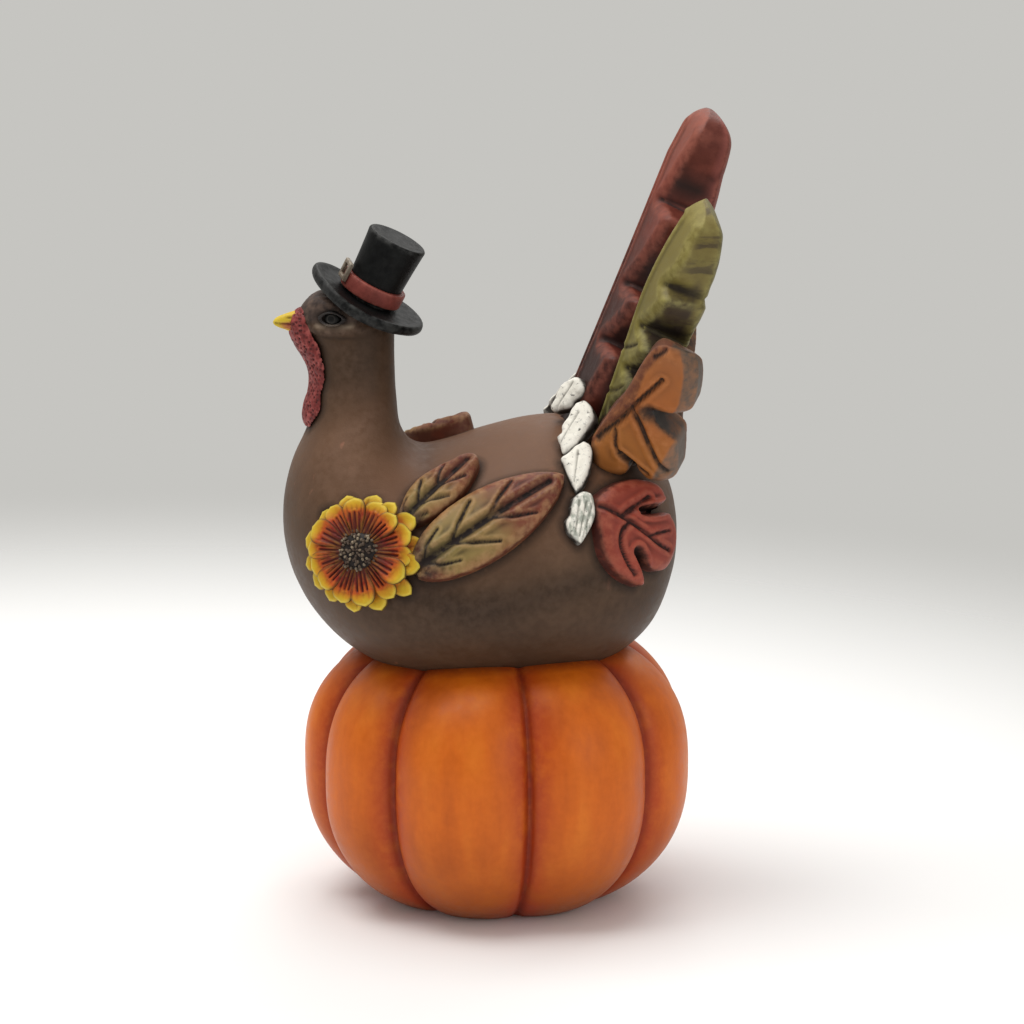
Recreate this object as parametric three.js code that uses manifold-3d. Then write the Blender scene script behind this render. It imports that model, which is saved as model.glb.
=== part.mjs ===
// Turkey figure on a pumpkin, in millimetres, +Z up.
// The turkey faces -X and its left side is -Y. The origin is the centre of the pumpkin's flat foot.
import * as THREE from "three";
import { mergeVertices } from "three/addons/utils/BufferGeometryUtils.js";
import Module from "manifold-3d";

const wasm = await Module();
wasm.setup();

// Fit between glued castings
const GLUE_GAP = 0.3;

// Pumpkin
const PUMPKIN_RADIUS = 41.4;
const PUMPKIN_WAIST_HEIGHT = 30;
const PUMPKIN_UPPER_HEIGHT = 30;
const PUMPKIN_LOWER_HEIGHT = 33;
const PUMPKIN_SQUARENESS = 2.7;
const PUMPKIN_GROOVE_DEPTH = 3.2;
const PUMPKIN_RIB_DEGREES = [28, 35.5, 46, 46.5, 38, 38, 46.5, 46, 35.5];

// Turkey body: breast to rump, belly to back, side to side
const BODY_LENGTH = 84;
const BODY_DEPTH = 56;
const BODY_WIDTH = 70;
const BODY_SAG = 0.12;
const BREAST_OVERHANG = 45.8;
const SEAT_DEPTH = 11.5;
const PEG_RADIUS = 7;
const PEG_LENGTH = 9;

// Neck and head: front to back, side to side, and height above the back
const NECK_DEPTH = 17.4;
const NECK_WIDTH = 16.6;
const NECK_RISE = 30.3;
const NECK_SETBACK = 24.2;

// Face
const EYE_RADIUS = 1.9;
const EYE_PROUD = 0.8;
const BEAK_LENGTH = 7.5;
const BEAK_RADIUS = 2.6;
const BEAK_HOOK = 0.8;
const BEAK_DROOP_DEGREES = 2;
const WATTLE_WIDTH = 14;
const WATTLE_PROUD = 4.4;

// Hat
const HAT_TILT_DEGREES = 26.5;
const HAT_ROLL_DEGREES = 7;
const BRIM_RADIUS = 13.2;
const BRIM_THICKNESS = 2.5;
const CROWN_HEIGHT = 13.8;
const CROWN_FOOT_RADIUS = 5.7;
const CROWN_TOP_RADIUS = 6.5;
const BAND_HEIGHT = 3.4;
const BAND_THICKNESS = 0.7;
const BUCKLE_SIZE = 4.2;
const BUCKLE_BAR = 0.9;
const BUCKLE_THICKNESS = 1;
const BUCKLE_TURN_DEGREES = 14;
const BUCKLE_LIFT = 1.2;

// Sunflower on the breast
const FLOWER_PETALS = 14;
const FLOWER_OUTER_RADIUS = 12.8;
const FLOWER_INNER_RADIUS = 11;
const OUTER_PETAL_THICKNESS = 2.3;
const INNER_PETAL_THICKNESS = 1.7;
const FLOWER_PROUD = 0.8;
const FLOWER_DROOP_RADIUS = 45;
const SEED_DISC_RADIUS = 4.3;
const SEED_DISC_HEIGHT = 1.9;

// Wing leaves laid on the flank
const WING_UPPER_WIDTH = 10.2;
const WING_LOWER_WIDTH = 17.8;
const WING_LEAF_PROUD = 2.9;
const FAR_WING_LEAF_PROUD = 4;

// Tail: the root block and the leaves of the fan
const FAN_TILT_DEGREES = 22.2;
const FAR_FAN_TURN_DEGREES = 12;
const ROOT_WIDTH = 37;
const ROOT_HEIGHT = 38;
const ROOT_THICKNESS = 11;
const ROOT_SETBACK = 7;
const ROOT_BURIED = 10;
const CENTRE_LEAF_LENGTH = 77;
const CENTRE_LEAF_WIDTH = 36;
const CENTRE_LEAF_THICKNESS = 13.5;
const CENTRE_LEAF_BURIED = 7.9;
const UPPER_LEAF_LENGTH = 59;
const UPPER_LEAF_OUTER_WIDTH = 15;
const UPPER_LEAF_INNER_WIDTH = 6;
const UPPER_LEAF_THICKNESS = 11.6;
const MIDDLE_LEAF_LENGTH = 38.6;
const MIDDLE_LEAF_OUTER_WIDTH = 17.4;
const MIDDLE_LEAF_INNER_WIDTH = 3.2;
const MIDDLE_LEAF_THICKNESS = 10.5;
const MIDDLE_LEAF_BURIED = 3;
const LOWER_LEAF_UPPER_WIDTH = 12.2;
const LOWER_LEAF_LOWER_WIDTH = 10.6;
const LOWER_LEAF_PROUD = 3.6;
const NOTCH_FADE = 0.75;

// Ruff of white feathers round the root of the fan
const RUFF_FEATHER_WIDTH = 8.6;
const RUFF_FEATHER_PROUD = 1.9;
const RUFF_FEATHER_CUP = 1.2;

// Colours
const ORANGE = 0xc86923;
const BROWN = 0x5f4b3e;
const BLACK = 0x232424;
const BAND_RED = 0x96493f;
const GOLD = 0xc09a55;
const YELLOW = 0xd9bb3a;
const WATTLE_RED = 0xa0413c;
const PETAL_GOLD = 0xcdab33;
const PETAL_RUST = 0xb4642f;
const SEED_BROWN = 0x5f5546;
const LEAF_OLIVE = 0x787045;
const LEAF_RED = 0x823c37;
const LEAF_GREEN = 0x87823f;
const LEAF_ORANGE = 0xa55f32;
const LEAF_MAROON = 0x82322a;
const RUFF_WHITE = 0xf0eee6;

// Stations of the body, as shares of its sizes: back along and up, breast along and up, half width.
const BODY_STATIONS = [
  [1, 0.56, 1, 0.56, 0],
  [0.993, 0.67, 0.993, 0.44, 0.2],
  [0.975, 0.76, 0.975, 0.345, 0.38],
  [0.926, 0.885, 0.926, 0.18, 0.62],
  [0.807, 0.985, 0.807, 0.045, 0.85],
  [0.64, 0.995, 0.64, 0, 0.98],
  [0.462, 0.925, 0.455, 0, 1],
  [0.375, 0.887, 0.26, 0.045, 0.94],
  [0.336, 0.9, 0.117, 0.187, 0.83],
  [0.312, 0.938, 0.027, 0.393, 0.69],
  [0.298, 0.991, 0, 0.616, 0.55],
];

// Stations of the neck and head, as shares of their sizes: back forward and up, throat forward and up,
// half width.
const NECK_STATIONS = [
  [-0.03, 0.1, 1.28, -0.33, 0.88],
  [-0.01, 0.23, 1.06, -0.066, 0.65],
  [0, 0.41, 0.96, 0.231, 0.52],
  [0, 0.61, 0.97, 0.512, 0.49],
  [0.02, 0.776, 1.07, 0.677, 0.5],
  [0.15, 0.924, 1.02, 0.842, 0.41],
  [0.54, 1, 0.54, 1, 0],
];

// Lobes of the upright tail leaves from stalk to tip: start and end as shares of the length, then the width
// at the notch and at the shoulder as shares of the leaf's.
const CENTRE_LOBES = [
  [0, 0.29, 0.3, 0.8],
  [0.315, 0.458, 0.27, 0.82],
  [0.48, 0.695, 0.25, 0.77],
  [0.725, 0.92, 0.25, 0.54],
];
const UPPER_LOBES = [
  [0, 0.145, 0.4, 0.72],
  [0.175, 0.31, 0.32, 0.74],
  [0.345, 0.48, 0.28, 0.8],
  [0.52, 0.69, 0.3, 0.78],
  [0.72, 0.86, 0.5, 0.7],
];
// Outlines of the tail leaves seen broadside: share of the length, then of the outer and the inner width.
// The middle leaf leans to its outer side, so its inner edge lies beyond the midrib, below zero.
const MIDDLE_OUTLINE = [
  [0.031, 0.36, -1],
  [0.067, 0.49, -0.47],
  [0.135, 0.56, -0.03],
  [0.166, 0.92, 0.06],
  [0.223, 1, 0.03],
  [0.352, 0.9, -0.41],
  [0.472, 0.735, -0.84],
  [0.518, 0.53, -0.92],
  [0.565, 0.41, -0.97],
  [0.59, 0.585, -0.9],
  [0.637, 0.71, -0.78],
  [0.793, 0.64, -0.34],
  [0.909, 0.53, -0.6],
  [0.974, 0.425, -1.28],
];
const LOWER_OUTLINE = [
  [0.01, 0.16, 0.2],
  [0.06, 0.4, 0.44],
  [0.15, 0.68, 0.68],
  [0.28, 0.91, 0.86],
  [0.43, 1, 0.98],
  [0.57, 1, 1],
  [0.63, 0.96, 0.78],
  [0.66, 0.93, 0.5],
  [0.745, 0.81, 0.58],
  [0.77, 0.53, 0.61],
  [0.86, 0.44, 0.58],
  [0.95, 0.28, 0.4],
  [0.99, 0.1, 0.1],
];

// Ways the free leaves of the fan point and face on the left side, x, y, z
const UPPER_LEAF_ALONG = [0.246, -0.324, 0.913];
const UPPER_LEAF_FRONT = [-0.98, -0.12, 0.15];
const MIDDLE_LEAF_ALONG = [0.357, -0.52, 0.777];
const MIDDLE_LEAF_FRONT = [-0.393, -0.834, -0.377];

// Places on the body's skin: stations counted from the rump, degrees from the back round to the left side
const FAN_STATION = 4.1;
const UPPER_LEAF_ROOT = [3.74, 23];
const MIDDLE_LEAF_ROOT = [4.24, 30.5];
const LOWER_LEAF_SPAN = [[4.26, 63], [2.62, 98.5]];
// Each ruff feather: the place under its round end, how far that end stands off the skin, the place of its
// point, and how far it has turned from the face of the fan to lie on the skin.
const RUFF_FEATHERS = [
  [[4.48, 8], 8.4, [4.84, 9], 0.2],
  [[4.34, 20.5], 6.8, [4.74, 33], 0.45],
  [[4.46, 33], 2.3, [4.62, 56], 0.8],
  [[4.32, 55.5], 1.4, [4.53, 80], 1],
];
// Wattle from above the beak down the throat: station, then shares of its height off the skin and its width
const WATTLE_ROWS = [
  [15.85, 0.25, 0.42],
  [15.62, 0.5, 0.52],
  [15.4, 0.72, 0.6],
  [15.06, 0.9, 0.66],
  [14.5, 1, 0.72],
  [13.9, 0.9, 0.8],
  [13.57, 0.62, 0.88],
  [13.18, 0.4, 0.97],
  [12.9, 0.42, 1],
  [12.5, 0.57, 1],
  [12.26, 0.55, 0.86],
  [12.04, 0.25, 0.55],
];
const BEAK_STATION = 15.15;
const WING_UPPER_SPAN = [[7.75, 68], [5.9, 28]];
const FAR_WING_UPPER_SPAN = [[7.6, 58], [5.86, 11]];
const WING_LOWER_SPAN = [[7.25, 90], [4.75, 49]];
const FLOWER_PLACE = [8.45, 94];
const EYE_PLACE = [15.15, 116];

// Seat of the hat in the head, as shares of the neck's sizes, forward and up
const HAT_PLACE = [0.38, 0.77];

const UP = new THREE.Vector3(0, 0, 1);
const SIDE = new THREE.Vector3(0, 1, 0);
const STATION_COUNT = BODY_STATIONS.length + NECK_STATIONS.length;
const radians = THREE.MathUtils.degToRad;
const lerp = THREE.MathUtils.lerp;

// Shells and solids

// A geometry with nothing but shared corner points.
function bare(geometry) {
  const plain = new THREE.BufferGeometry();
  plain.setAttribute("position", geometry.getAttribute("position").clone());
  plain.setIndex(geometry.index);
  return mergeVertices(plain, 1e-4);
}

// A closed shell of triangles, turned so that its faces point outward.
function closedShell(points, faces) {
  let volume = 0;
  for (const [a, b, c] of faces) {
    volume += points[a].dot(new THREE.Vector3().crossVectors(points[b], points[c]));
  }
  const outward = volume < 0 ? faces.map(([a, b, c]) => [a, c, b]) : faces;
  const geometry = new THREE.BufferGeometry().setFromPoints(points);
  geometry.setIndex(outward.flat());
  return bare(geometry);
}

// Rings of equal count joined in order and closed by a pole at each end.
function loft(firstPole, rings, lastPole) {
  const sides = rings[0].length;
  const points = [firstPole, ...rings.flat(), lastPole];
  const top = 1 + (rings.length - 1) * sides;
  const faces = [];
  for (let j = 0; j < sides; j += 1) {
    const k = (j + 1) % sides;
    faces.push([0, 1 + k, 1 + j]);
    for (let low = 1; low < top; low += sides) {
      faces.push([low + j, low + k, low + sides + k]);
      faces.push([low + j, low + sides + k, low + sides + j]);
    }
    faces.push([top + j, top + k, points.length - 1]);
  }
  return closedShell(points, faces);
}

function turned(outline, segments) {
  const points = outline.map(([x, y]) => new THREE.Vector2(x, y));
  return bare(new THREE.LatheGeometry(points, segments).rotateX(Math.PI / 2));
}

function mirrored(geometry) {
  const copy = geometry.clone().scale(1, -1, 1);
  copy.setIndex([...copy.index.array].reverse());
  return copy;
}

function solidOf(geometry) {
  const shell = bare(geometry);
  const mesh = new wasm.Mesh({
    numProp: 3,
    vertProperties: new Float32Array(shell.getAttribute("position").array),
    triVerts: new Uint32Array(shell.index.array),
  });
  return new wasm.Manifold(mesh);
}

function geometryOf(solid) {
  const mesh = solid.getMesh();
  const geometry = new THREE.BufferGeometry();
  geometry.setAttribute("position", new THREE.BufferAttribute(mesh.vertProperties, 3));
  geometry.setIndex(new THREE.BufferAttribute(mesh.triVerts, 1));
  return geometry;
}

// The same piece made larger by the glue gap all round, for cutting its seat in a neighbour.
function grown(geometry) {
  const larger = bare(geometry);
  larger.computeVertexNormals();
  const positions = larger.getAttribute("position");
  const normals = larger.getAttribute("normal");
  const point = new THREE.Vector3();
  const normal = new THREE.Vector3();
  for (let i = 0; i < positions.count; i += 1) {
    normal.fromBufferAttribute(normals, i);
    point.fromBufferAttribute(positions, i).addScaledVector(normal, GLUE_GAP);
    positions.setXYZ(i, point.x, point.y, point.z);
  }
  return larger;
}

// A piece with the seats of its neighbours cut from it. Only its largest part is kept.
function seated(geometry, ...neighbours) {
  let solid = solidOf(geometry);
  for (const neighbour of neighbours) {
    solid = solid.subtract(solidOf(grown(neighbour)));
  }
  const parts = solid.decompose();
  parts.sort((a, b) => b.volume() - a.volume());
  return geometryOf(parts[0]);
}

// Pumpkin

function pumpkinTop() {
  return PUMPKIN_WAIST_HEIGHT + PUMPKIN_UPPER_HEIGHT;
}

function pumpkinRadiusAt(height) {
  const above = height - PUMPKIN_WAIST_HEIGHT;
  const reach = above > 0 ? PUMPKIN_UPPER_HEIGHT : PUMPKIN_LOWER_HEIGHT;
  const share = Math.min(1, Math.abs(above) / reach);
  return PUMPKIN_RADIUS * (1 - share ** PUMPKIN_SQUARENESS) ** (1 / PUMPKIN_SQUARENESS);
}

// One level of the pumpkin: round ribs with a crease between each two. The widest rib faces forward.
function pumpkinRing(height) {
  const stepsPerRib = 6;
  const radius = pumpkinRadiusAt(height);
  const groove = PUMPKIN_GROOVE_DEPTH / PUMPKIN_RADIUS;
  const ring = [];
  let start = 180 - PUMPKIN_RIB_DEGREES[0] / 2;
  for (const width of PUMPKIN_RIB_DEGREES) {
    for (let step = 0; step < stepsPerRib; step += 1) {
      const share = step / stepsPerRib;
      const reach = radius * (1 - groove * Math.abs(2 * share - 1) ** 3);
      const angle = radians(start + width * share);
      ring.push(new THREE.Vector3(reach * Math.cos(angle), reach * Math.sin(angle), height));
    }
    start += width;
  }
  return ring;
}

function pumpkin() {
  const rows = 13;
  const early = 0.24;
  const rings = [];
  for (let row = 0; row < rows; row += 1) {
    const turn = lerp(early, 1, row / rows);
    const rise = Math.cos(Math.PI * early) - Math.cos(Math.PI * turn);
    rings.push(pumpkinRing((pumpkinTop() * rise) / (1 + Math.cos(Math.PI * early))));
  }
  return loft(new THREE.Vector3(), rings, new THREE.Vector3(0, 0, pumpkinTop()));
}

// Turkey body: ovals strung between a back rail and a breast rail, from the rump to the top of the head

function bellyHeight() {
  return pumpkinTop() - SEAT_DEPTH;
}

function bodyPoint(along, up) {
  return new THREE.Vector3(along * BODY_LENGTH - BREAST_OVERHANG, 0, bellyHeight() + up * BODY_DEPTH);
}

function neckPoint(forward, up) {
  const x = NECK_SETBACK - BREAST_OVERHANG - forward * NECK_DEPTH;
  return new THREE.Vector3(x, 0, bellyHeight() + BODY_DEPTH + up * NECK_RISE);
}

function bodyRails() {
  const rows = [
    ...BODY_STATIONS.map((row) => [bodyPoint, BODY_WIDTH / 2, row]),
    ...NECK_STATIONS.map((row) => [neckPoint, NECK_WIDTH, row]),
  ];
  const back = rows.map(([place, , row]) => place(row[0], row[1]));
  const breast = rows.map(([place, , row]) => place(row[2], row[3]));
  const half = rows.map(([, width, row]) => new THREE.Vector3(row[4] * width, 0, 0));
  return [back, breast, half].map((points) => new THREE.CatmullRomCurve3(points, false, "centripetal"));
}

const [backRail, breastRail, halfRail] = bodyRails();

function skinPoint(station, degrees) {
  const share = THREE.MathUtils.clamp(station / (STATION_COUNT - 1), 0, 1);
  const back = backRail.getPoint(share);
  const breast = breastRail.getPoint(share);
  const half = halfRail.getPoint(share).x;
  const angle = radians(degrees);
  const middle = back.clone().lerp(breast, 0.5);
  const arm = back.clone().sub(middle);
  const across = -half * Math.sin(angle) * (1 - BODY_SAG * Math.cos(angle));
  return middle.addScaledVector(arm, Math.cos(angle)).addScaledVector(SIDE, across);
}

function skinNormal(station, degrees) {
  const along = skinPoint(station + 0.05, degrees).sub(skinPoint(station - 0.05, degrees));
  const around = skinPoint(station, degrees + 1).sub(skinPoint(station, degrees - 1));
  return along.cross(around).normalize();
}

function bodySkin() {
  const sides = 24;
  const steps = 2;
  const rings = [];
  for (let i = 1; i < (STATION_COUNT - 1) * steps; i += 1) {
    rings.push(Array.from({ length: sides }, (_, j) => skinPoint(i / steps, (360 * j) / sides)));
  }
  return loft(skinPoint(0, 0), rings, skinPoint(STATION_COUNT - 1, 0));
}

function bellyPeg() {
  const overlap = 4;
  const peg = new THREE.CylinderGeometry(PEG_RADIUS, PEG_RADIUS, PEG_LENGTH + overlap, 24);
  peg.rotateX(Math.PI / 2).translate(0, 0, bellyHeight() + (overlap - PEG_LENGTH) / 2);
  return bare(peg);
}

// Leaves: rounded slabs strung along a midrib

// One row across a leaf: a width to each side, proud of its midrib in front and sunk behind.
function leafRow(corners, place, front, across, [outer, inner], proud, sunk, cup) {
  const soften = (value) => Math.sign(value) * Math.abs(value) ** 0.77;
  const ring = [];
  for (let j = 0; j < corners; j += 1) {
    const angle = (2 * Math.PI * j) / corners;
    const side = soften(Math.cos(angle));
    const face = soften(Math.sin(angle));
    const depth = face * (face > 0 ? proud : sunk) - cup * side * side;
    const reach = side * (side > 0 ? inner : outer);
    ring.push(place.clone().addScaledVector(across, reach).addScaledVector(front, depth));
  }
  return ring;
}

// Half width along a plain leaf, as a share, from its stalk (0) to its tip (1).
function plainLeafShare(v) {
  return Math.sin(Math.PI * v) ** 0.7;
}

// Half width along a feather: a drop with its round end first.
function featherShare(v) {
  return Math.sqrt(Math.max(0, 1 - (1.9 * v - 0.9) ** 2)) * (1 - 0.35 * v);
}

// Rows of a leaf that is alike on both sides: share of the length, then the width to each side.
function evenRows(count, width, share) {
  return Array.from({ length: count }, (_, i) => {
    const v = (i + 0.25) / count;
    return [v, (width / 2) * share(v), (width / 2) * share(v)];
  });
}

// Outline of a lobed leaf: each lobe widens from its notch to its shoulder, and the last rounds off to the
// tip.
function lobedOutline(lobes) {
  const rows = [];
  for (const [from, to, narrow, wide] of lobes) {
    for (const t of [0, 0.5, 1]) {
      rows.push([lerp(from, to, t), lerp(narrow, wide, t ** 0.8)]);
    }
  }
  const [, shoulder, , wide] = lobes.at(-1);
  for (const t of [0.4, 0.75, 0.94]) {
    rows.push([lerp(shoulder, 1, t), wide * Math.sqrt(1 - t * t)]);
  }
  return rows.map(([v, share]) => [v, share, share]);
}

// A leaf laid on the body's skin from one place to another, sunk far enough for its seat to be cut.
function leafOnSkin([from, to], rows, proud, corners) {
  const sunk = proud + 1.5;
  const at = (v) => [lerp(from[0], to[0], v), lerp(from[1], to[1], v)];
  const rings = rows.map(([v, outer, inner]) => {
    const front = skinNormal(...at(v));
    const along = skinPoint(...at(v + 0.02)).sub(skinPoint(...at(v - 0.02)));
    const across = front.clone().cross(along).normalize();
    const swell = 0.55 + 0.45 * Math.sqrt(1 - v ** 4);
    return leafRow(corners, skinPoint(...at(v)), front, across, [outer, inner], proud * swell, sunk, 0);
  });
  return loft(skinPoint(...at(0)), rings, skinPoint(...at(1)));
}

// How far the back of a lobed leaf reaches, where the notches of its outline fade out.
function backShare(outline, row, column) {
  const near = outline.filter(([v]) => Math.abs(v - row[0]) < 0.08).map((other) => other[column]);
  const tip = Math.min(1, (1 - row[0]) / 0.12);
  return lerp(row[column], Math.max(...near), NOTCH_FADE * tip);
}

// A free leaf of the fan, standing from its root: a thick slab with a lobed outline. Its face is folded back
// along the midrib, its back is flat, and it grows thinner and curls back toward its tip.
function fanLeaf(root, along, front, outline, size) {
  const across = front.clone().cross(along).normalize();
  const face = along.clone().cross(across).normalize();
  const steps = [-1, -0.5, 0, 0.5, 1];
  const point = (v, wide, deep) => {
    const curl = size.curl * Math.max(0, (v - 0.55) / 0.45) ** 2;
    const place = root.clone().addScaledVector(along, size.length * v).addScaledVector(across, wide);
    return place.addScaledVector(face, deep - curl);
  };
  const thinness = (v) => {
    const tip = Math.max(0, (v - 0.9) / 0.1);
    return (1 - size.taper * v ** size.late) * Math.sqrt(1 - tip ** 3);
  };
  const rings = outline.map((row) => {
    const reach = (step, outer, inner) => lerp(-outer * size.outer, inner * size.inner, (step + 1) / 2);
    const frontHalf = steps.map((step) => {
      const wide = reach(step, row[1], row[2]);
      const fold = Math.abs(wide) * (wide < 0 ? size.outerFold : size.innerFold);
      return point(row[0], wide, size.thickness / 2 - fold);
    });
    const backHalf = steps.map((step) => {
      const wide = reach(step, backShare(outline, row, 1), backShare(outline, row, 2));
      return point(row[0], wide, size.thickness * (0.5 - thinness(row[0])));
    });
    return [...frontHalf, ...backHalf.reverse()];
  });
  const middle = ([, outer, inner]) => (inner * size.inner - outer * size.outer) / 2;
  const stalk = point(outline[0][0] - 0.01, middle(outline[0]), 0);
  return loft(stalk, rings, point(1, middle(outline.at(-1)), size.thickness / 2));
}

// Tail

function fanUp() {
  const tilt = radians(FAN_TILT_DEGREES);
  return new THREE.Vector3(Math.sin(tilt), 0, Math.cos(tilt));
}

function fanFront() {
  return SIDE.clone().cross(fanUp()).negate();
}

// The block behind the ruff that carries the leaves, half buried in the rump.
function tailRoot() {
  const rows = 9;
  const middle = skinPoint(FAN_STATION, 0).addScaledVector(fanUp(), -ROOT_BURIED);
  middle.addScaledVector(fanFront(), -ROOT_SETBACK);
  const rings = [];
  for (let i = 1; i < rows; i += 1) {
    const angle = (Math.PI * i) / rows;
    const place = middle.clone().addScaledVector(fanUp(), (-ROOT_HEIGHT / 2) * Math.cos(angle));
    const half = (ROOT_WIDTH / 2) * Math.sin(angle) ** 0.8;
    const thick = (ROOT_THICKNESS / 2) * Math.sin(angle) ** 0.5;
    rings.push(leafRow(16, place, fanFront(), SIDE, [half, half], thick, thick, 0));
  }
  const foot = middle.clone().addScaledVector(fanUp(), -ROOT_HEIGHT / 2);
  const head = middle.clone().addScaledVector(fanUp(), ROOT_HEIGHT / 2);
  return loft(foot, rings, head);
}

function centreLeaf() {
  const place = skinPoint(FAN_STATION, 0).addScaledVector(fanUp(), -CENTRE_LEAF_BURIED);
  return fanLeaf(place, fanUp(), fanFront(), lobedOutline(CENTRE_LOBES), {
    length: CENTRE_LEAF_LENGTH,
    outer: CENTRE_LEAF_WIDTH / 2,
    inner: CENTRE_LEAF_WIDTH / 2,
    thickness: CENTRE_LEAF_THICKNESS,
    taper: 0.42,
    late: 6,
    outerFold: 0.16,
    innerFold: 0.16,
    curl: 1.2,
  });
}

function upperLeaf() {
  const along = new THREE.Vector3(...UPPER_LEAF_ALONG).normalize();
  const front = new THREE.Vector3(...UPPER_LEAF_FRONT);
  return fanLeaf(skinPoint(...UPPER_LEAF_ROOT), along, front, lobedOutline(UPPER_LOBES), {
    length: UPPER_LEAF_LENGTH,
    outer: UPPER_LEAF_OUTER_WIDTH,
    inner: UPPER_LEAF_INNER_WIDTH,
    thickness: UPPER_LEAF_THICKNESS,
    taper: 0.55,
    late: 6,
    outerFold: 0.06,
    innerFold: 0.9,
    curl: 4.5,
  });
}

function middleLeaf() {
  const along = new THREE.Vector3(...MIDDLE_LEAF_ALONG).normalize();
  const front = new THREE.Vector3(...MIDDLE_LEAF_FRONT);
  const place = skinPoint(...MIDDLE_LEAF_ROOT).addScaledVector(along, -MIDDLE_LEAF_BURIED);
  return fanLeaf(place, along, front, MIDDLE_OUTLINE, {
    length: MIDDLE_LEAF_LENGTH,
    outer: MIDDLE_LEAF_OUTER_WIDTH,
    inner: MIDDLE_LEAF_INNER_WIDTH,
    thickness: MIDDLE_LEAF_THICKNESS,
    taper: 0.5,
    late: 3,
    outerFold: 0.08,
    innerFold: 1.1,
    curl: 0,
  });
}

function lowerLeaf() {
  const rows = LOWER_OUTLINE.map(([v, lower, upper]) => {
    return [v, lower * LOWER_LEAF_LOWER_WIDTH, upper * LOWER_LEAF_UPPER_WIDTH];
  });
  return leafOnSkin(LOWER_LEAF_SPAN, rows, LOWER_LEAF_PROUD, 10);
}

// The right half of the fan stands a little further back than the left half.
function farFan(geometry) {
  const hinge = skinPoint(FAN_STATION, 0);
  const copy = mirrored(geometry).translate(-hinge.x, 0, 0);
  return copy.rotateZ(-radians(FAR_FAN_TURN_DEGREES)).translate(hinge.x, 0, 0);
}

// The first feathers of the ruff stand against the leaves, the last lie on the skin.
function ruffFeather([under, lift, end, turn]) {
  const high = skinPoint(...under).addScaledVector(skinNormal(...under), lift);
  const low = skinPoint(...end);
  const front = fanFront().lerp(skinNormal(...end), turn).addScaledVector(SIDE, -0.25);
  const along = low.clone().sub(high);
  const across = front.cross(along).normalize();
  const face = along.clone().cross(across).normalize();
  const rings = evenRows(8, RUFF_FEATHER_WIDTH, featherShare).map(([v, outer, inner]) => {
    const place = high.clone().addScaledVector(along, v);
    const depth = RUFF_FEATHER_PROUD;
    return leafRow(10, place, face, across, [outer, inner], depth, depth, RUFF_FEATHER_CUP);
  });
  return loft(high, rings, low);
}

// Sunflower, made flat with its face up, then laid on the breast

function petalRing(radius, share, height, turn) {
  const steps = FLOWER_PETALS * 4;
  const ring = [];
  for (let j = 0; j < steps; j += 1) {
    const angle = (2 * Math.PI * j) / steps;
    const valley = (1 - Math.abs(Math.cos((FLOWER_PETALS * angle) / 2)) ** 0.6) * share;
    const reach = radius * share * (1 - 0.24 * valley);
    const lift = height * (1 - 0.5 * valley) - (reach * reach) / (2 * FLOWER_DROOP_RADIUS);
    ring.push(new THREE.Vector3(reach * Math.cos(angle + turn), reach * Math.sin(angle + turn), lift));
  }
  return ring;
}

function petals(radius, thickness, floor, turn) {
  const rings = [
    petalRing(radius, 0.94, 0, turn),
    petalRing(radius, 1, thickness * 0.55, turn),
    petalRing(radius, 0.84, thickness, turn),
    petalRing(radius, 0.4, thickness, turn),
  ];
  const shell = loft(new THREE.Vector3(), rings, new THREE.Vector3(0, 0, thickness));
  return laidOnBreast(shell.translate(0, 0, floor));
}

function seedDisc(floor) {
  const steps = 4;
  const wall = SEED_DISC_HEIGHT * 0.35;
  const outline = [[0, 0], [SEED_DISC_RADIUS, 0]];
  for (let i = 0; i < steps; i += 1) {
    const angle = (Math.PI / 2) * (i / steps);
    const height = lerp(wall, SEED_DISC_HEIGHT, Math.sin(angle));
    outline.push([SEED_DISC_RADIUS * Math.cos(angle), height]);
  }
  outline.push([0, SEED_DISC_HEIGHT]);
  return laidOnBreast(turned(outline, 18).translate(0, 0, floor));
}

function laidOnBreast(geometry) {
  const face = new THREE.Quaternion().setFromUnitVectors(UP, skinNormal(...FLOWER_PLACE));
  const place = skinPoint(...FLOWER_PLACE);
  return geometry.applyQuaternion(face).translate(place.x, place.y, place.z);
}

// Hat, made upright with the underside of its brim at zero, then set on the head

function onHead(geometry) {
  const seat = neckPoint(...HAT_PLACE);
  geometry.rotateX(radians(HAT_ROLL_DEGREES)).rotateY(radians(HAT_TILT_DEGREES));
  return geometry.translate(seat.x, seat.y, seat.z);
}

function brim() {
  const edge = BRIM_THICKNESS / 2;
  const outline = [[0, 0]];
  for (let i = 0; i <= 5; i += 1) {
    const angle = Math.PI * (i / 5 - 0.5);
    outline.push([BRIM_RADIUS - edge + edge * Math.cos(angle), edge + edge * Math.sin(angle)]);
  }
  outline.push([0, BRIM_THICKNESS]);
  return onHead(turned(outline, 28));
}

function crownRadiusAt(height) {
  return lerp(CROWN_FOOT_RADIUS, CROWN_TOP_RADIUS, (height / CROWN_HEIGHT) ** 1.6);
}

function crown() {
  const floor = BRIM_THICKNESS + GLUE_GAP;
  const round = 1.2;
  const wall = CROWN_HEIGHT - round;
  const outline = [[0, floor]];
  for (let i = 0; i <= 4; i += 1) {
    outline.push([crownRadiusAt((wall * i) / 4), floor + (wall * i) / 4]);
  }
  const top = crownRadiusAt(wall);
  for (let i = 1; i <= 3; i += 1) {
    const angle = (Math.PI / 2) * (i / 3);
    outline.push([top - round + round * Math.cos(angle), floor + wall + round * Math.sin(angle)]);
  }
  outline.push([0, floor + CROWN_HEIGHT]);
  return onHead(turned(outline, 24));
}

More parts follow.
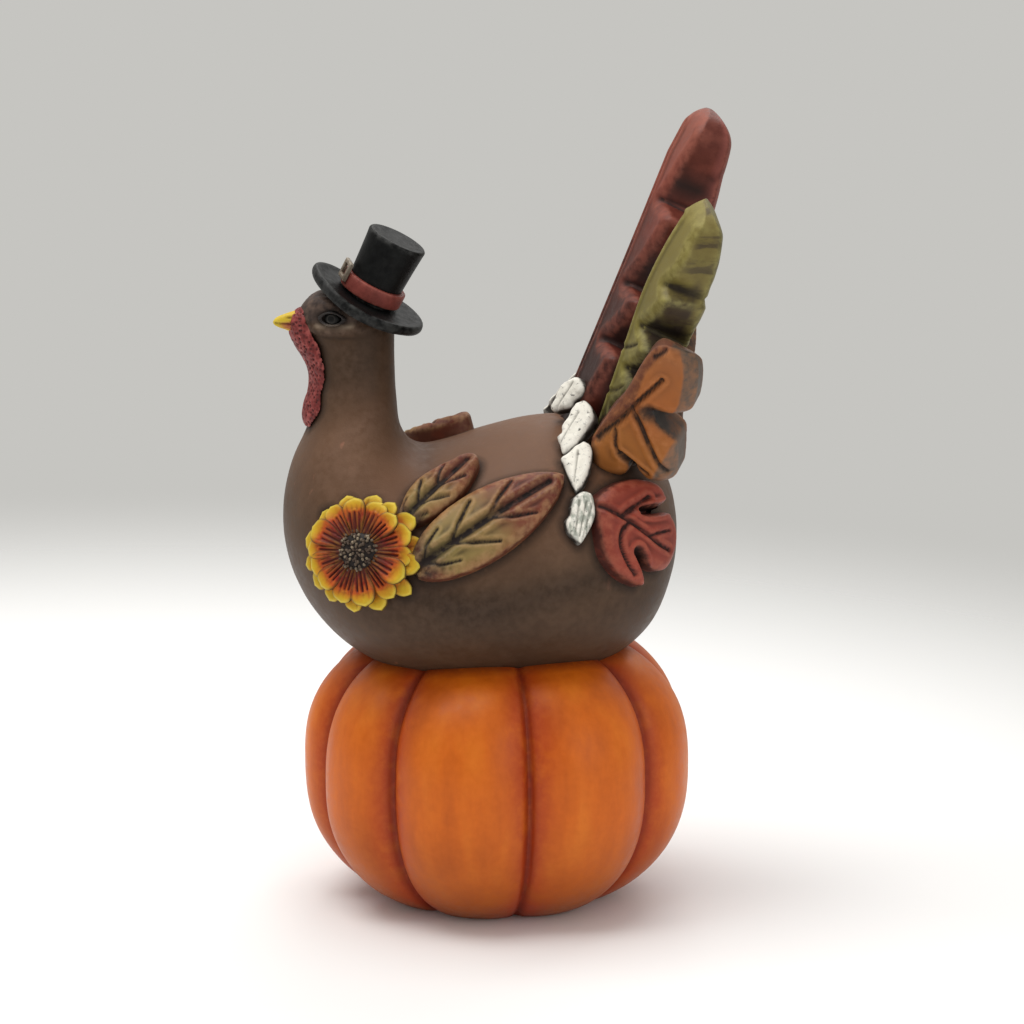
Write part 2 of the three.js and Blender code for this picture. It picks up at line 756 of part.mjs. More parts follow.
function band() {
  const floor = BRIM_THICKNESS + GLUE_GAP * 2;
  const low = crownRadiusAt(GLUE_GAP) + GLUE_GAP;
  const high = crownRadiusAt(BAND_HEIGHT + GLUE_GAP) + GLUE_GAP;
  const outline = [
    [low, floor],
    [low + BAND_THICKNESS, floor],
    [high + BAND_THICKNESS, floor + BAND_HEIGHT],
    [high, floor + BAND_HEIGHT],
    [low, floor],
  ];
  return onHead(turned(outline, 24));
}

function squarePath(path, half) {
  return path.moveTo(-half, -half).lineTo(half, -half).lineTo(half, half).lineTo(-half, half).closePath();
}

function buckle() {
  const half = BUCKLE_SIZE / 2;
  const frame = squarePath(new THREE.Shape(), half);
  frame.holes.push(squarePath(new THREE.Path(), half - BUCKLE_BAR));
  const plate = new THREE.ExtrudeGeometry(frame, { depth: BUCKLE_THICKNESS, bevelEnabled: false });
  const reach = crownRadiusAt(BAND_HEIGHT + GLUE_GAP) + BAND_THICKNESS + GLUE_GAP * 2;
  plate.rotateY(-Math.PI / 2).translate(-reach, 0, BRIM_THICKNESS + GLUE_GAP + half + BUCKLE_LIFT);
  return onHead(bare(plate.rotateZ(radians(BUCKLE_TURN_DEGREES))));
}

// Face

function roundRing(place, across, high, wide, tall) {
  const sides = 10;
  const ring = [];
  for (let j = 0; j < sides; j += 1) {
    const angle = (2 * Math.PI * j) / sides;
    const point = place.clone().addScaledVector(across, wide * Math.cos(angle));
    ring.push(point.addScaledVector(high, tall * Math.sin(angle)));
  }
  return ring;
}

function beak() {
  const rows = 6;
  const buried = 2;
  const droop = radians(BEAK_DROOP_DEGREES);
  const along = new THREE.Vector3(-Math.cos(droop), 0, -Math.sin(droop));
  const high = new THREE.Vector3(-Math.sin(droop), 0, Math.cos(droop));
  const root = skinPoint(BEAK_STATION, 180).addScaledVector(along, -buried);
  const length = BEAK_LENGTH + buried;
  const place = (v) => {
    return root.clone().addScaledVector(along, length * v).addScaledVector(high, -BEAK_HOOK * v * v);
  };
  const rings = [];
  for (let i = 0; i < rows; i += 1) {
    const radius = BEAK_RADIUS * (1 - i / rows) ** 0.6;
    rings.push(roundRing(place(i / rows), SIDE, high, radius * 0.9, radius));
  }
  return loft(place(-0.05), rings, place(1));
}

// The wattle covers the root of the beak, wraps the throat and ends in a bulb.
function wattle() {
  const rings = WATTLE_ROWS.map(([station, height, width]) => {
    const half = (WATTLE_WIDTH / 2) * width;
    const neck = halfRail.getPoint(station / (STATION_COUNT - 1)).x;
    const cup = neck - Math.sqrt(Math.max(0, neck * neck - half * half));
    const place = skinPoint(station, 180);
    return leafRow(12, place, skinNormal(station, 180), SIDE, [half, half], WATTLE_PROUD * height, 2, cup);
  });
  const first = skinPoint(WATTLE_ROWS[0][0] + 0.1, 180);
  const last = skinPoint(WATTLE_ROWS.at(-1)[0] - 0.08, 180);
  return loft(first, rings, last);
}

function eye() {
  const place = skinPoint(...EYE_PLACE).addScaledVector(skinNormal(...EYE_PLACE), EYE_PROUD - EYE_RADIUS);
  return bare(new THREE.SphereGeometry(EYE_RADIUS, 12, 9).translate(place.x, place.y, place.z));
}

// Assembly

const figure = new THREE.Group();
figure.name = "turkey_figure";

function addPiece(name, geometry, colour) {
  const material = new THREE.MeshStandardMaterial({ color: colour, roughness: 0.6 });
  const mesh = new THREE.Mesh(geometry, material);
  mesh.name = name;
  figure.add(mesh);
  return mesh;
}

// A piece of the left side and its mirror image on the right.
function addPair(name, geometry, colour, farGeometry = mirrored(geometry)) {
  addPiece(`left_${name}`, geometry, colour);
  addPiece(`right_${name}`, farGeometry, colour);
}

const skin = bodySkin();
const peg = bellyPeg();
const hatBrim = brim();
addPiece("pumpkin_base", seated(pumpkin(), skin, peg), ORANGE);
addPiece("turkey_body", geometryOf(solidOf(seated(skin, hatBrim)).add(solidOf(peg))), BROWN);

const bill = beak();
addPair("eye", seated(eye(), skin), BLACK);
addPiece("beak", seated(bill, skin), YELLOW);
addPiece("wattle", seated(wattle(), skin, bill), WATTLE_RED);

addPiece("hat_brim", hatBrim, BLACK);
addPiece("hat_crown", crown(), BLACK);
addPiece("hat_band", band(), BAND_RED);
addPiece("hat_buckle", buckle(), GOLD);

const outerFloor = FLOWER_PROUD - OUTER_PETAL_THICKNESS;
const innerFloor = outerFloor + OUTER_PETAL_THICKNESS + GLUE_GAP;
const discFloor = innerFloor + INNER_PETAL_THICKNESS + GLUE_GAP;
const outer = petals(FLOWER_OUTER_RADIUS, OUTER_PETAL_THICKNESS, outerFloor, 0);
const inner = petals(FLOWER_INNER_RADIUS, INNER_PETAL_THICKNESS, innerFloor, Math.PI / FLOWER_PETALS);
addPair("flower_outer_petals", seated(outer, skin), PETAL_GOLD);
addPair("flower_inner_petals", inner, PETAL_RUST);
addPair("flower_seed_disc", seedDisc(discFloor), SEED_BROWN);

// The upper wing leaf of the right side reaches further up, so that its tip stands over the back.
const wingUpperRows = evenRows(10, WING_UPPER_WIDTH, plainLeafShare);
const wingLowerRows = evenRows(12, WING_LOWER_WIDTH, plainLeafShare);
const wingUpper = leafOnSkin(WING_UPPER_SPAN, wingUpperRows, WING_LEAF_PROUD, 10);
const farWingUpper = leafOnSkin(FAR_WING_UPPER_SPAN, wingUpperRows, FAR_WING_LEAF_PROUD, 10);
const wingLower = leafOnSkin(WING_LOWER_SPAN, wingLowerRows, WING_LEAF_PROUD, 10);
addPair(
  "wing_leaf_upper",
  seated(wingUpper, skin, outer, inner),
  LEAF_OLIVE,
  mirrored(seated(farWingUpper, skin, outer, inner)),
);
addPair(
  "wing_leaf_lower",
  seated(wingLower, skin, wingUpper, outer, inner),
  LEAF_OLIVE,
  mirrored(seated(wingLower, skin, farWingUpper, outer, inner)),
);

const root = tailRoot();
const ruff = RUFF_FEATHERS.map(ruffFeather);
const farRuff = ruff.map(mirrored);
const centre = centreLeaf();
const upper = upperLeaf();
const middle = middleLeaf();
const lower = lowerLeaf();
const farUpper = farFan(upper);
const farMiddle = farFan(middle);
addPiece("tail_root", seated(root, skin), BROWN);
addPiece("tail_leaf_centre", seated(centre, root, skin, ...ruff, ...farRuff), LEAF_RED);
addPair(
  "tail_leaf_upper",
  seated(upper, root, skin, centre, middle, ...ruff),
  LEAF_GREEN,
  seated(farUpper, root, skin, centre, farMiddle, ...farRuff),
);
addPair(
  "tail_leaf_middle",
  seated(middle, root, skin, centre, ...ruff),
  LEAF_ORANGE,
  seated(farMiddle, root, skin, centre, ...farRuff),
);
addPair(
  "tail_leaf_lower",
  seated(lower, root, skin, upper, middle, ...ruff),
  LEAF_MAROON,
  seated(mirrored(lower), root, skin, farUpper, farMiddle, ...farRuff),
);
ruff.forEach((feather, i) => {
  addPair(`ruff_feather_${i + 1}`, seated(feather, skin, root, wingLower, ...ruff.slice(0, i)), RUFF_WHITE);
});

export default figure;
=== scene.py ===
"""Painted turkey figure on a pumpkin: every visible piece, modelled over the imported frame, and its stage."""
import math

import bpy
import numpy as np
from mathutils import Matrix, Vector, noise
from mathutils.bvhtree import BVHTree
from mathutils.kdtree import KDTree


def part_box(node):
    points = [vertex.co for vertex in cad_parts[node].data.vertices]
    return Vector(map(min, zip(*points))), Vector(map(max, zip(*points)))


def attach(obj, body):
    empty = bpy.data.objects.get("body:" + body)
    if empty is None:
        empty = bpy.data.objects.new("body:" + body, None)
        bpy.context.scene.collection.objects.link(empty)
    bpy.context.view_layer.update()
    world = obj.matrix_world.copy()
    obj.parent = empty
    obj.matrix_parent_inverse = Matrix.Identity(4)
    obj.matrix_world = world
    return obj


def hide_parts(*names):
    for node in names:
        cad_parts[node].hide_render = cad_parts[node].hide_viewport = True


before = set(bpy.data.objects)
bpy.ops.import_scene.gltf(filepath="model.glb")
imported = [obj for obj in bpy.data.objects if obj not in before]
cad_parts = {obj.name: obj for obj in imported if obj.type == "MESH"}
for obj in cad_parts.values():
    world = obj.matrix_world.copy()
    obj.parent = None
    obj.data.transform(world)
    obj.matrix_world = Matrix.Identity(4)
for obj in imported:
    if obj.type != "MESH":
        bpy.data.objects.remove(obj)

bl_info = {
    "name": "Turkey figure on a pumpkin",
    "version": (1, 0, 0),
    "blender": (4, 5, 0),
    "location": "View3D > Sidebar > Turkey",
    "description": "Models and paints a cast turkey figure on a pumpkin",
    "category": "Object",
}

MM = 0.001
BODY = "root"
UP = Vector((0, 0, 1))

# Pumpkin ribs, counter-clockwise from the first groove, in degrees.
RIB_START = 166.0
RIB_DEGREES = (28, 35.5, 46, 46.5, 38, 38, 46.5, 46, 35.5)

# Places on the left side, in millimetres, and the way each piece faces.
EYE_PLACE = ((-35.18, -7.80, 126.60), (-0.356, -0.931, 0.076))
FLOWER_PLACE = ((-30.02, -27.04, 80.52), (-0.404, -0.863, 0.304))
HAT_SEAT = (-28.21, 0.0, 127.83)

# The painted shade on the flank, along the lower edge of the wing.
WING_SHADE = ((-25.7, -29.9, 76.9), (-8.5, -34.8, 70.3), (10.1, -33.7, 73.8), (23, -29, 76.7))

# The right half of the fan stands a little further back than the left: its turn round the root of the fan.
FAN_ROOT = (20.71, 0.0, 103.97)
FAN_TURN = math.radians(12)

# How far the centre leaf of the fan leans back.
FAN_TILT = math.radians(22.2)

# The point that the camera looks at, in millimetres.
CAMERA_TARGET = (3.0995, -0.6205, 83.363)

# Half outlines from the stalk to the tip: share of the length, share of half the width.
RED_HALF = (
    (0, .3), (.05, .42), (.12, .55), (.2, .68), (.26, .78), (.29, .8), (.303, .62), (.31, .34), (.317, .27),
    (.33, .32), (.36, .48), (.4, .66), (.44, .8), (.458, .8), (.468, .6), (.474, .34), (.481, .25),
    (.495, .3), (.54, .46), (.6, .62), (.66, .74), (.695, .76), (.71, .6), (.718, .36), (.726, .25),
    (.74, .28), (.78, .36), (.83, .45), (.88, .52), (.93, .54), (.965, .46), (.985, .34), (.996, .16),
    (1, 0),
)
GREEN_HALF = (
    (0, .4), (.08, .6), (.13, .72), (.15, .7), (.16, .5), (.17, .34), (.182, .32), (.22, .46), (.28, .68),
    (.31, .74), (.325, .52), (.335, .32), (.347, .28), (.38, .44), (.44, .68), (.48, .8), (.498, .58),
    (.51, .34), (.523, .3), (.55, .42), (.6, .6), (.66, .74), (.69, .78), (.705, .64), (.717, .52),
    (.735, .54), (.78, .66), (.85, .7), (.91, .6), (.96, .56), (.985, .42), (.997, .2), (1, 0),
)
WING_HALF = (
    (0, .2), (.05, .46), (.15, .74), (.3, .94), (.47, 1), (.62, .93), (.75, .77), (.88, .5), (.95, .27),
    (.985, .12), (1, 0),
)
UPPER_WING_HALF = (
    (0, .15), (.06, .34), (.19, .64), (.33, .88), (.5, 1), (.62, .97), (.75, .84), (.88, .62), (.95, .42),
    (.985, .22), (1, 0),
)
PETAL_HALF = ((0, .42), (.2, .55), (.45, .86), (.65, 1), (.8, .95), (.92, .66), (1, 0))

# Whole outlines of the leaves that are not alike on both sides, in millimetres along and across the midrib.
ORANGE_OUTLINE = (
    (-2.8, .7), (1, .6), (5.5, .4), (12.1, -.2), (19.2, 0), (24.2, -.3), (26.7, -1.2), (28, -3),
    (28.4, -5.4), (28.2, -7.9), (26.8, -9.8), (24.2, -11.2), (21, -12.4), (17.9, -13.3), (15.7, -13.6),
    (14.2, -12), (13, -9.4), (12, -7), (10, -8.3), (8.8, -10.4), (8.2, -12.8), (7.1, -14.6),
    (4.4, -15.9), (0.8, -17.4), (-2.2, -18.3), (-4.2, -17.3), (-4.8, -15.5), (-4.5, -13.5), (-3.7, -11.3),
    (-2.3, -8.3), (-4.8, -9.3), (-6.9, -8.6), (-8.3, -6.5), (-8.7, -4.3), (-7.7, -2.1), (-5.6, -.4),
)
# The brown half of that leaf starts at the first line, its grey flank at the second.
ORANGE_BAND = ((-3, -.2), (1, -.5), (6.6, -2.2), (12.1, -3.1), (15, -2.7), (17.4, -2.2), (20, -1.9),
               (25, -2.3), (28, -3.6))
ORANGE_FLANK = ((11.5, -14), (12.5, -10.2), (15, -10.8), (17.3, -10.6), (20.6, -9.6), (24.1, -8.4),
                (26.6, -7), (28.4, -5))
# The gap between its lobes, filled with painted shadow, lies along the third line.
ORANGE_GAP_SHADE = ((11.6, -6.6), (11.6, -9), (11, -11), (10.6, -14))
MAROON_OUTLINE = (
    (-1, 1), (.5, 4.7), (3, 8), (5.7, 10.2), (9.5, 12), (12.4, 12.2), (14, 10.4), (13, 7.4), (9.4, 4.1),
    (12, 5.4), (15, 7.4), (18, 7.4), (20.5, 5), (21.5, 1.2), (20.8, -2.5), (18.5, -4.6), (15, -5.6),
    (11.4, -5.2), (14.6, -7.2), (16.6, -9.2), (12.4, -10.6), (9, -10.6), (5.6, -9.4), (3.4, -7.4),
    (1.6, -4.6), (0, -1.5),
)

# Vein lines: points as shares like the outlines, width and depth in millimetres, cut on both sides of the
# midrib.
GREEN_VEINS = (
    (((0, 0), (.5, .02), (.93, 0)), .75, .8),
    (((.2, 0), (.25, .3), (.3, .5)), .5, .3),
    (((.38, 0), (.43, .3), (.47, .5)), .5, .3),
)
RED_VEINS = ((((0, 0), (.5, .02), (.94, 0)), .8, .8),)
WING_VEINS = (
    (((0, 0), (.5, -.03), (.9, 0)), 1.0, .9),
    (((.24, 0), (.34, .34), (.47, .74)), .5, .6),
    (((.5, 0), (.6, .32), (.73, .6)), .5, .6),
    (((.06, 0), (.13, .34), (.23, .56)), .4, .4),
)
PETAL_VEINS = (
    (((0, 0), (.62, 0)), .28, .35),
    (((0, .2), (.35, .36), (.6, .42)), .26, .3),
)
# The same for the two whole outlines, in millimetres.
ORANGE_VEINS = (
    (((-1, -.4), (1, -.7), (6.6, -2.2), (12.6, -3.3), (16.8, -4.3), (20.8, -5.2)), .6, .95),
    (((10.2, -3.4), (7.7, -6.5), (5.4, -8.8), (3.4, -11), (1.1, -13.6), (-.7, -16.1)), .65, .8),
    (((3.7, -2.4), (.3, -4.1), (-1, -5.6)), .5, .6),
    (((24.4, -1.6), (27.1, -2.8)), .5, .6),
    (((-1.2, -6), (-2.2, -8.9), (-2.9, -12.9)), .7, 1.2),
)
MAROON_VEINS = (
    (((0, 0), (8, -.4), (14.5, -.6), (18.5, .2)), .6, .8),
    (((4.6, .4), (6.4, 3.6), (8.8, 7.2)), .75, .8),
    (((6.3, -.3), (5.4, -3), (6.4, -6), (9.6, -8.3), (12.6, -9.2)), .55, .75),
    (((12, -.4), (14, 1.6), (16.6, 3.8)), .45, .5),
    (((8.2, 3.7), (11, 5.4), (14.6, 8.6)), .9, 2.2),
    (((10.6, -5), (13, -6.2), (16.4, -8)), .9, 2.0),
)

# The white feathers: outline in millimetres along and across, high end, low end, the way it faces.
RUFF_FEATHERS = (
    (((-.6, .6), (-1.1, 2.5), (-.2, 4.6), (1.3, 5), (3.4, 4.4), (4.9, 4.4), (6.7, 2.6), (8, 1.2),
      (7.5, -.2), (5.8, -.5), (4.1, -.9), (2, -1.1)),
     (15.77, -5.09, 112.61), (10.25, -4.66, 104.09), (-.72, -.55, .42)),
    (((.4, -.5), (1, 1.6), (2.7, 3.5), (4.3, 4), (7, 3.9), (10.2, 3.6), (12.6, 2.7), (13.1, 1.9),
      (11.8, .6), (10.2, -1.4), (8.7, -1.1), (7.6, -2), (6.3, -2), (4.9, -1.9), (3.2, -2.2), (1.2, -1.9)),
     (18.22, -12.09, 109.07), (11.7, -16.38, 100.03), (-.6, -.68, .42)),
    (((1, .7), (1.7, 2.3), (3.8, 3), (6.9, 2.9), (9.1, 2.6), (11.3, 2), (13.1, .9), (12.3, .1),
      (10.3, -1.1), (7, -2.7), (5.3, -3.4), (3.8, -1.9), (2, -.6)),
     (16, -16.92, 102.07), (13.46, -25.46, 92.33), (-.15, -.8, .58)),
    (((3.3, -3.9), (1.5, -2.3), (1.6, -.4), (3.7, .7), (5.8, 1.3), (8.3, .9), (10.9, .1), (12.7, -.7),
      (12.1, -2), (10.9, -3.7), (8.8, -4.6), (7, -4), (5.1, -4.2)),
     (17.84, -25, 93.2), (14.78, -31.6, 81.9), (.25, -.87, .42)),
)


def tone(red, green, blue):
    """A colour given as it shows on a screen, 0 to 255, as the renderer needs it."""
    def linear(value):
        value /= 255
        return value / 12.92 if value <= 0.04045 else ((value + 0.055) / 1.055) ** 2.4

    return (linear(red), linear(green), linear(blue), 1)


class PumpkinSettings(bpy.types.PropertyGroup):
    """Sizes of the pumpkin."""

    radius: bpy.props.FloatProperty(
        name="Radius", description="Greatest radius over a rib", default=0.0414, unit="LENGTH",
        subtype="DISTANCE")
    waist: bpy.props.FloatProperty(
        name="Waist height", description="Height of the greatest girth", default=0.030, unit="LENGTH")
    upper: bpy.props.FloatProperty(
        name="Upper height", description="From the waist up to the crown", default=0.030, unit="LENGTH")
    lower: bpy.props.FloatProperty(
        name="Lower height", description="From the waist down to where the foot cuts it", default=0.0335,
        unit="LENGTH")
    squareness: bpy.props.FloatProperty(
        name="Squareness", description="Fullness of the side view", default=2.5, min=1.5, max=5.0)
    groove: bpy.props.FloatProperty(
        name="Groove depth", description="Depth of the valley between ribs", default=0.0041, unit="LENGTH")
    crease: bpy.props.FloatProperty(
        name="Crease depth", description="Depth of the line cut in each valley", default=0.0009,
        unit="LENGTH")


class HatSettings(bpy.types.PropertyGroup):
    """Sizes of the hat."""

    tilt: bpy.props.FloatProperty(
        name="Tilt", description="How far the hat leans back", default=math.radians(26.5), subtype="ANGLE")
    roll: bpy.props.FloatProperty(
        name="Roll", description="How far the hat leans to the left", default=math.radians(7),
        subtype="ANGLE")
    brim_radius: bpy.props.FloatProperty(
        name="Brim radius", description="Radius over the rim", default=0.0132, unit="LENGTH")
    brim_thickness: bpy.props.FloatProperty(
        name="Brim thickness", description="Thickness of the rim", default=0.0025, unit="LENGTH")
    crown_height: bpy.props.FloatProperty(
        name="Crown height", description="Height of the crown over the brim", default=0.0138, unit="LENGTH")
    crown_foot: bpy.props.FloatProperty(
        name="Crown foot radius", description="Radius where the crown meets the brim", default=0.0057,
        unit="LENGTH")
    crown_top: bpy.props.FloatProperty(
        name="Crown top radius", description="Radius of the flared top", default=0.0065, unit="LENGTH")
    band_height: bpy.props.FloatProperty(
        name="Band height", description="Height of the ribbon", default=0.0034, unit="LENGTH")
    buckle_size: bpy.props.FloatProperty(
        name="Buckle size", description="Side of the square buckle", default=0.0042, unit="LENGTH")
    buckle_turn: bpy.props.FloatProperty(
        name="Buckle turn", description="Turn of the buckle to the left of the front",
        default=math.radians(14), subtype="ANGLE")
    buckle_lift: bpy.props.FloatProperty(
        name="Buckle lift", description="Height of the buckle over the foot of the band", default=0.0012,
        unit="LENGTH")


class FlowerSettings(bpy.types.PropertyGroup):
    """Sizes of the sunflowers."""

    petals: bpy.props.IntProperty(name="Petals", description="Petals in each ring", default=14, min=6,
                                  max=24)
    outer_radius: bpy.props.FloatProperty(
        name="Outer radius", description="Reach of the outer petals", default=0.0128, unit="LENGTH")
    inner_radius: bpy.props.FloatProperty(
        name="Inner radius", description="Reach of the inner petals", default=0.0114, unit="LENGTH")
    disc_radius: bpy.props.FloatProperty(
        name="Disc radius", description="Radius of the seed disc", default=0.0043, unit="LENGTH")
    seeds: bpy.props.IntProperty(name="Seeds", description="Seeds on the disc", default=110, min=20,
                                 max=300)


class PaintSettings(bpy.types.PropertyGroup):
    """Main colours of the figure."""

    pumpkin: bpy.props.FloatVectorProperty(
        name="Pumpkin", description="Orange of the ribs", default=tone(204, 98, 14), size=4,
        subtype="COLOR")
    body: bpy.props.FloatVectorProperty(
        name="Body", description="Brown of the flanks", default=tone(73, 54, 39), size=4, subtype="COLOR")
    wattle: bpy.props.FloatVectorProperty(
        name="Wattle", description="Red of the wattle", default=tone(124, 46, 43), size=4, subtype="COLOR")
    hat: bpy.props.FloatVectorProperty(
        name="Hat", description="Black of the felt", default=tone(13, 14, 14), size=4, subtype="COLOR")
    band: bpy.props.FloatVectorProperty(
        name="Band", description="Red of the ribbon", default=tone(134, 64, 56), size=4, subtype="COLOR")


class StageSettings(bpy.types.PropertyGroup):
    """Camera, floor and lamps."""

    distance: bpy.props.FloatProperty(
        name="Camera distance", description="From the camera to the middle of the figure", default=0.9,
        unit="LENGTH")
    lens: bpy.props.FloatProperty(
        name="Lens", description="Focal length of the camera", default=148.9, unit="CAMERA")
    azimuth: bpy.props.FloatProperty(
        name="Azimuth", description="Turn of the camera round the figure", default=math.radians(-5),
        subtype="ANGLE")
    elevation: bpy.props.FloatProperty(
        name="Elevation", description="Height of the camera over the horizon", default=math.radians(12),
        subtype="ANGLE")
    sky: bpy.props.FloatProperty(
        name="Sky", description="Strength of the light from all round", default=0.56, min=0.0, max=3.0)
    key: bpy.props.FloatProperty(
        name="Key", description="Power of the large lamp over the figure", default=8.4, min=0.0,
        unit="POWER")


# Small helpers


def only(piece):
    """Selects this piece and nothing else."""
    bpy.ops.object.select_all(action="DESELECT")
    piece.select_set(True)
    bpy.context.view_layer.objects.active = piece


def edit(piece):
    """Opens the piece with all of its mesh selected."""
    only(piece)
    bpy.ops.object.mode_set(mode="EDIT")
    bpy.ops.mesh.select_all(action="SELECT")


def done():
    """Leaves edit mode with the faces looking outward."""
    bpy.ops.mesh.select_all(action="SELECT")
    bpy.ops.mesh.normals_make_consistent(inside=False)
    bpy.ops.object.mode_set(mode="OBJECT")


def modify(piece, kind, **settings):
    """Adds one modifier, sets it and applies it."""
    only(piece)
    bpy.ops.object.modifier_add(type=kind)
    modifier = piece.modifiers[-1]
    for key, value in settings.items():
        setattr(modifier, key, value)
    bpy.ops.object.modifier_apply(modifier=modifier.name)
    return piece


def points_of(piece, what="co"):
    flat = np.empty(len(piece.data.vertices) * 3, np.float32)
    piece.data.vertices.foreach_get(what, flat)
    return flat.reshape(-1, 3).astype(float)


def put_points(piece, points):
    piece.data.vertices.foreach_set("co", points.astype(np.float32).ravel())
    piece.data.update()


def mark(piece, name, values):
    """Keeps one number for each vertex, for the paint to read."""
    attribute = piece.data.attributes.new(name, "FLOAT", "POINT")
    attribute.data.foreach_set("value", np.clip(values, 0, 1).astype(np.float32))


def blurred(piece, values, turns):
    """The values averaged over neighbouring vertices, some turns over."""
    ends = np.empty(len(piece.data.edges) * 2, np.int32)
    piece.data.edges.foreach_get("vertices", ends)
    one, two = ends.reshape(-1, 2).T
    count = len(values)
    degree = np.maximum(np.bincount(one, minlength=count) + np.bincount(two, minlength=count), 1)
    for _ in range(turns):
        moved = np.empty_like(values)
        for axis in range(values.shape[1]):
            column = values[:, axis]
            total = np.bincount(one, column[two], count) + np.bincount(two, column[one], count)
            moved[:, axis] = total / degree
        values = 0.4 * values + 0.6 * moved
    return values


def mark_relief(piece, turns=14, scale=0.12):
    """Keeps where the casting stands proud (ridge) and where it is cut in (hollow), for wash and rub."""
    points = points_of(piece)
    height = np.einsum("ij,ij->i", points - blurred(piece, points, turns), points_of(piece, "normal"))
    mark(piece, "ridge", height / (scale * MM))
    mark(piece, "hollow", -height / (scale * MM))


def mark_contact_shade(piece, others, reach):
    """Keeps how close each vertex lies to other pieces, for the painted shade round them."""
    glued = np.vstack([points_of(other)[::2] for other in others])
    tree = KDTree(len(glued))
    for index, point in enumerate(glued):
        tree.insert(point, index)
    tree.balance()
    points = points_of(piece)
    reach *= MM
    close = np.all((points > glued.min(axis=0) - reach) & (points < glued.max(axis=0) + reach), axis=1)
    near = np.zeros(len(points))
    for index in np.flatnonzero(close):
        near[index] = 1 - tree.find(points[index])[2] / reach
    mark(piece, "near", near)


def cast(piece, voxel, turns):
    """Gives the piece the even, slightly softened skin of a casting."""
    modify(piece, "REMESH", mode="VOXEL", voxel_size=voxel * MM, adaptivity=0.0)
    modify(piece, "SMOOTH", factor=0.5, iterations=turns)
    return piece


def copy_of_node(name, node):
    """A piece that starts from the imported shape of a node."""
    piece = bpy.data.objects.new(name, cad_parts[node].data.copy())
    piece.data.materials.clear()
    bpy.context.scene.collection.objects.link(piece)
    edit(piece)
    bpy.ops.mesh.remove_doubles(threshold=1e-6)
    done()
    return piece


def cast_from_node(name, node, corner, levels, voxel, turns):
    """A node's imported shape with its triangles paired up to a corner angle, rounded and cast."""
    piece = copy_of_node(name, node)
    edit(piece)
    corner = math.radians(corner)
    bpy.ops.mesh.tris_convert_to_quads(face_threshold=corner, shape_threshold=corner)
    done()
    modify(piece, "SUBSURF", levels=levels, subdivision_type="CATMULL_CLARK")
    return cast(piece, voxel, turns)


def place(piece, matrix):
    """Moves the piece to its place and leaves its object at the origin."""
    piece.matrix_world = matrix
    only(piece)
    bpy.ops.object.transform_apply(location=True, rotation=True, scale=True)
    return piece


def other_side(piece, name):
    """The mirror image of a left piece, with a mesh of its own."""
    only(piece)
    bpy.ops.object.duplicate(linked=False)
    twin = bpy.context.object
    twin.name = name
    bpy.ops.transform.resize(value=(1, -1, 1), center_override=(0, 0, 0))
    bpy.ops.object.transform_apply(location=True, rotation=True, scale=True)
    edit(twin)
    done()
    return twin


def settle(piece, slot, material, *nodes):
    """Paints the piece, hangs it on the figure and puts it in place of its nodes."""
    only(piece)
    bpy.ops.object.shade_smooth()
    piece.data.materials.clear()
    piece.data.materials.append(material)
    piece["figure_made"] = True
    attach(piece, BODY)
    if nodes:
        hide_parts(*nodes)
    return piece


def axes(along, front):
    """Unit vectors along a piece, across it and out of its face."""
    along = Vector(along).normalized()
    across = Vector(front).cross(along).normalized()
    return along, across, along.cross(across).normalized()


def lathe(name, profile, segments):
    """A turned piece: a circle drawn up through the radii and heights of a profile, in metres."""
    radius, height = profile[0]
    bpy.ops.mesh.primitive_circle_add(
        vertices=segments, radius=radius, fill_type="NGON", location=(0, 0, 0), enter_editmode=False)
    piece = bpy.context.object
    piece.name = name
    edit(piece)
    bpy.ops.transform.translate(value=(0, 0, height))
    for next_radius, next_height in profile[1:]:
        bpy.ops.mesh.extrude_region_move(TRANSFORM_OT_translate={"value": (0, 0, next_height - height)})
        share = next_radius / radius
        bpy.ops.transform.resize(value=(share, share, 1), center_override=(0, 0, next_height))
        radius, height = next_radius, next_height
    done()
    return piece


# Leaves


def curve_through(points, steps):
    """A smooth line through the points."""
    points = np.array(points, float)
    padded = np.vstack([2 * points[0] - points[1], points, 2 * points[-1] - points[-2]])
    line = []
    for a, b, c, d in zip(padded, padded[1:], padded[2:], padded[3:]):
        for t in np.arange(steps) / steps:
            line.append(b + 0.5 * t * (c - a + t * (2 * a - 5 * b + 4 * c - d + t * (3 * (b - c) + d - a))))
    return np.vstack([line, points[-1]])


def outline_of(half, length, near, far):
    """The whole outline of a leaf, in metres, from its half and its reach on one side and the other."""
    side = curve_through(half, 5)
    side[:, 1] = np.maximum(side[:, 1], 0)
    right = side * (length, far)
    left = (side * (length, -near))[::-1]
    whole = np.vstack([right, left[1:]])
    keep = np.linalg.norm(whole - np.roll(whole, 1, axis=0), axis=1) > 1e-6
    return whole[keep]


def loop_through(points):
    """A smooth closed outline, in metres, through points in millimetres."""
    points = np.array(points, float) * MM
    ring = np.vstack([points[-2:], points, points[:2]])
    return curve_through(ring, 5)[10:-10][:-1]


def both_sides(veins, length, near, far):
    """Vein lines given as shares, in metres, on both sides of the midrib."""
    lines = []
    for line, width, depth in veins:
        lines.append((curve_through(line, 6) * (length, far), width, depth))
        lines.append((curve_through(line, 6) * (length, -near), width, depth))
    return lines


def as_drawn(veins):
    """Vein lines given in millimetres, in metres."""
    return [(curve_through(line, 6) * MM, width, depth) for line, width, depth in veins]


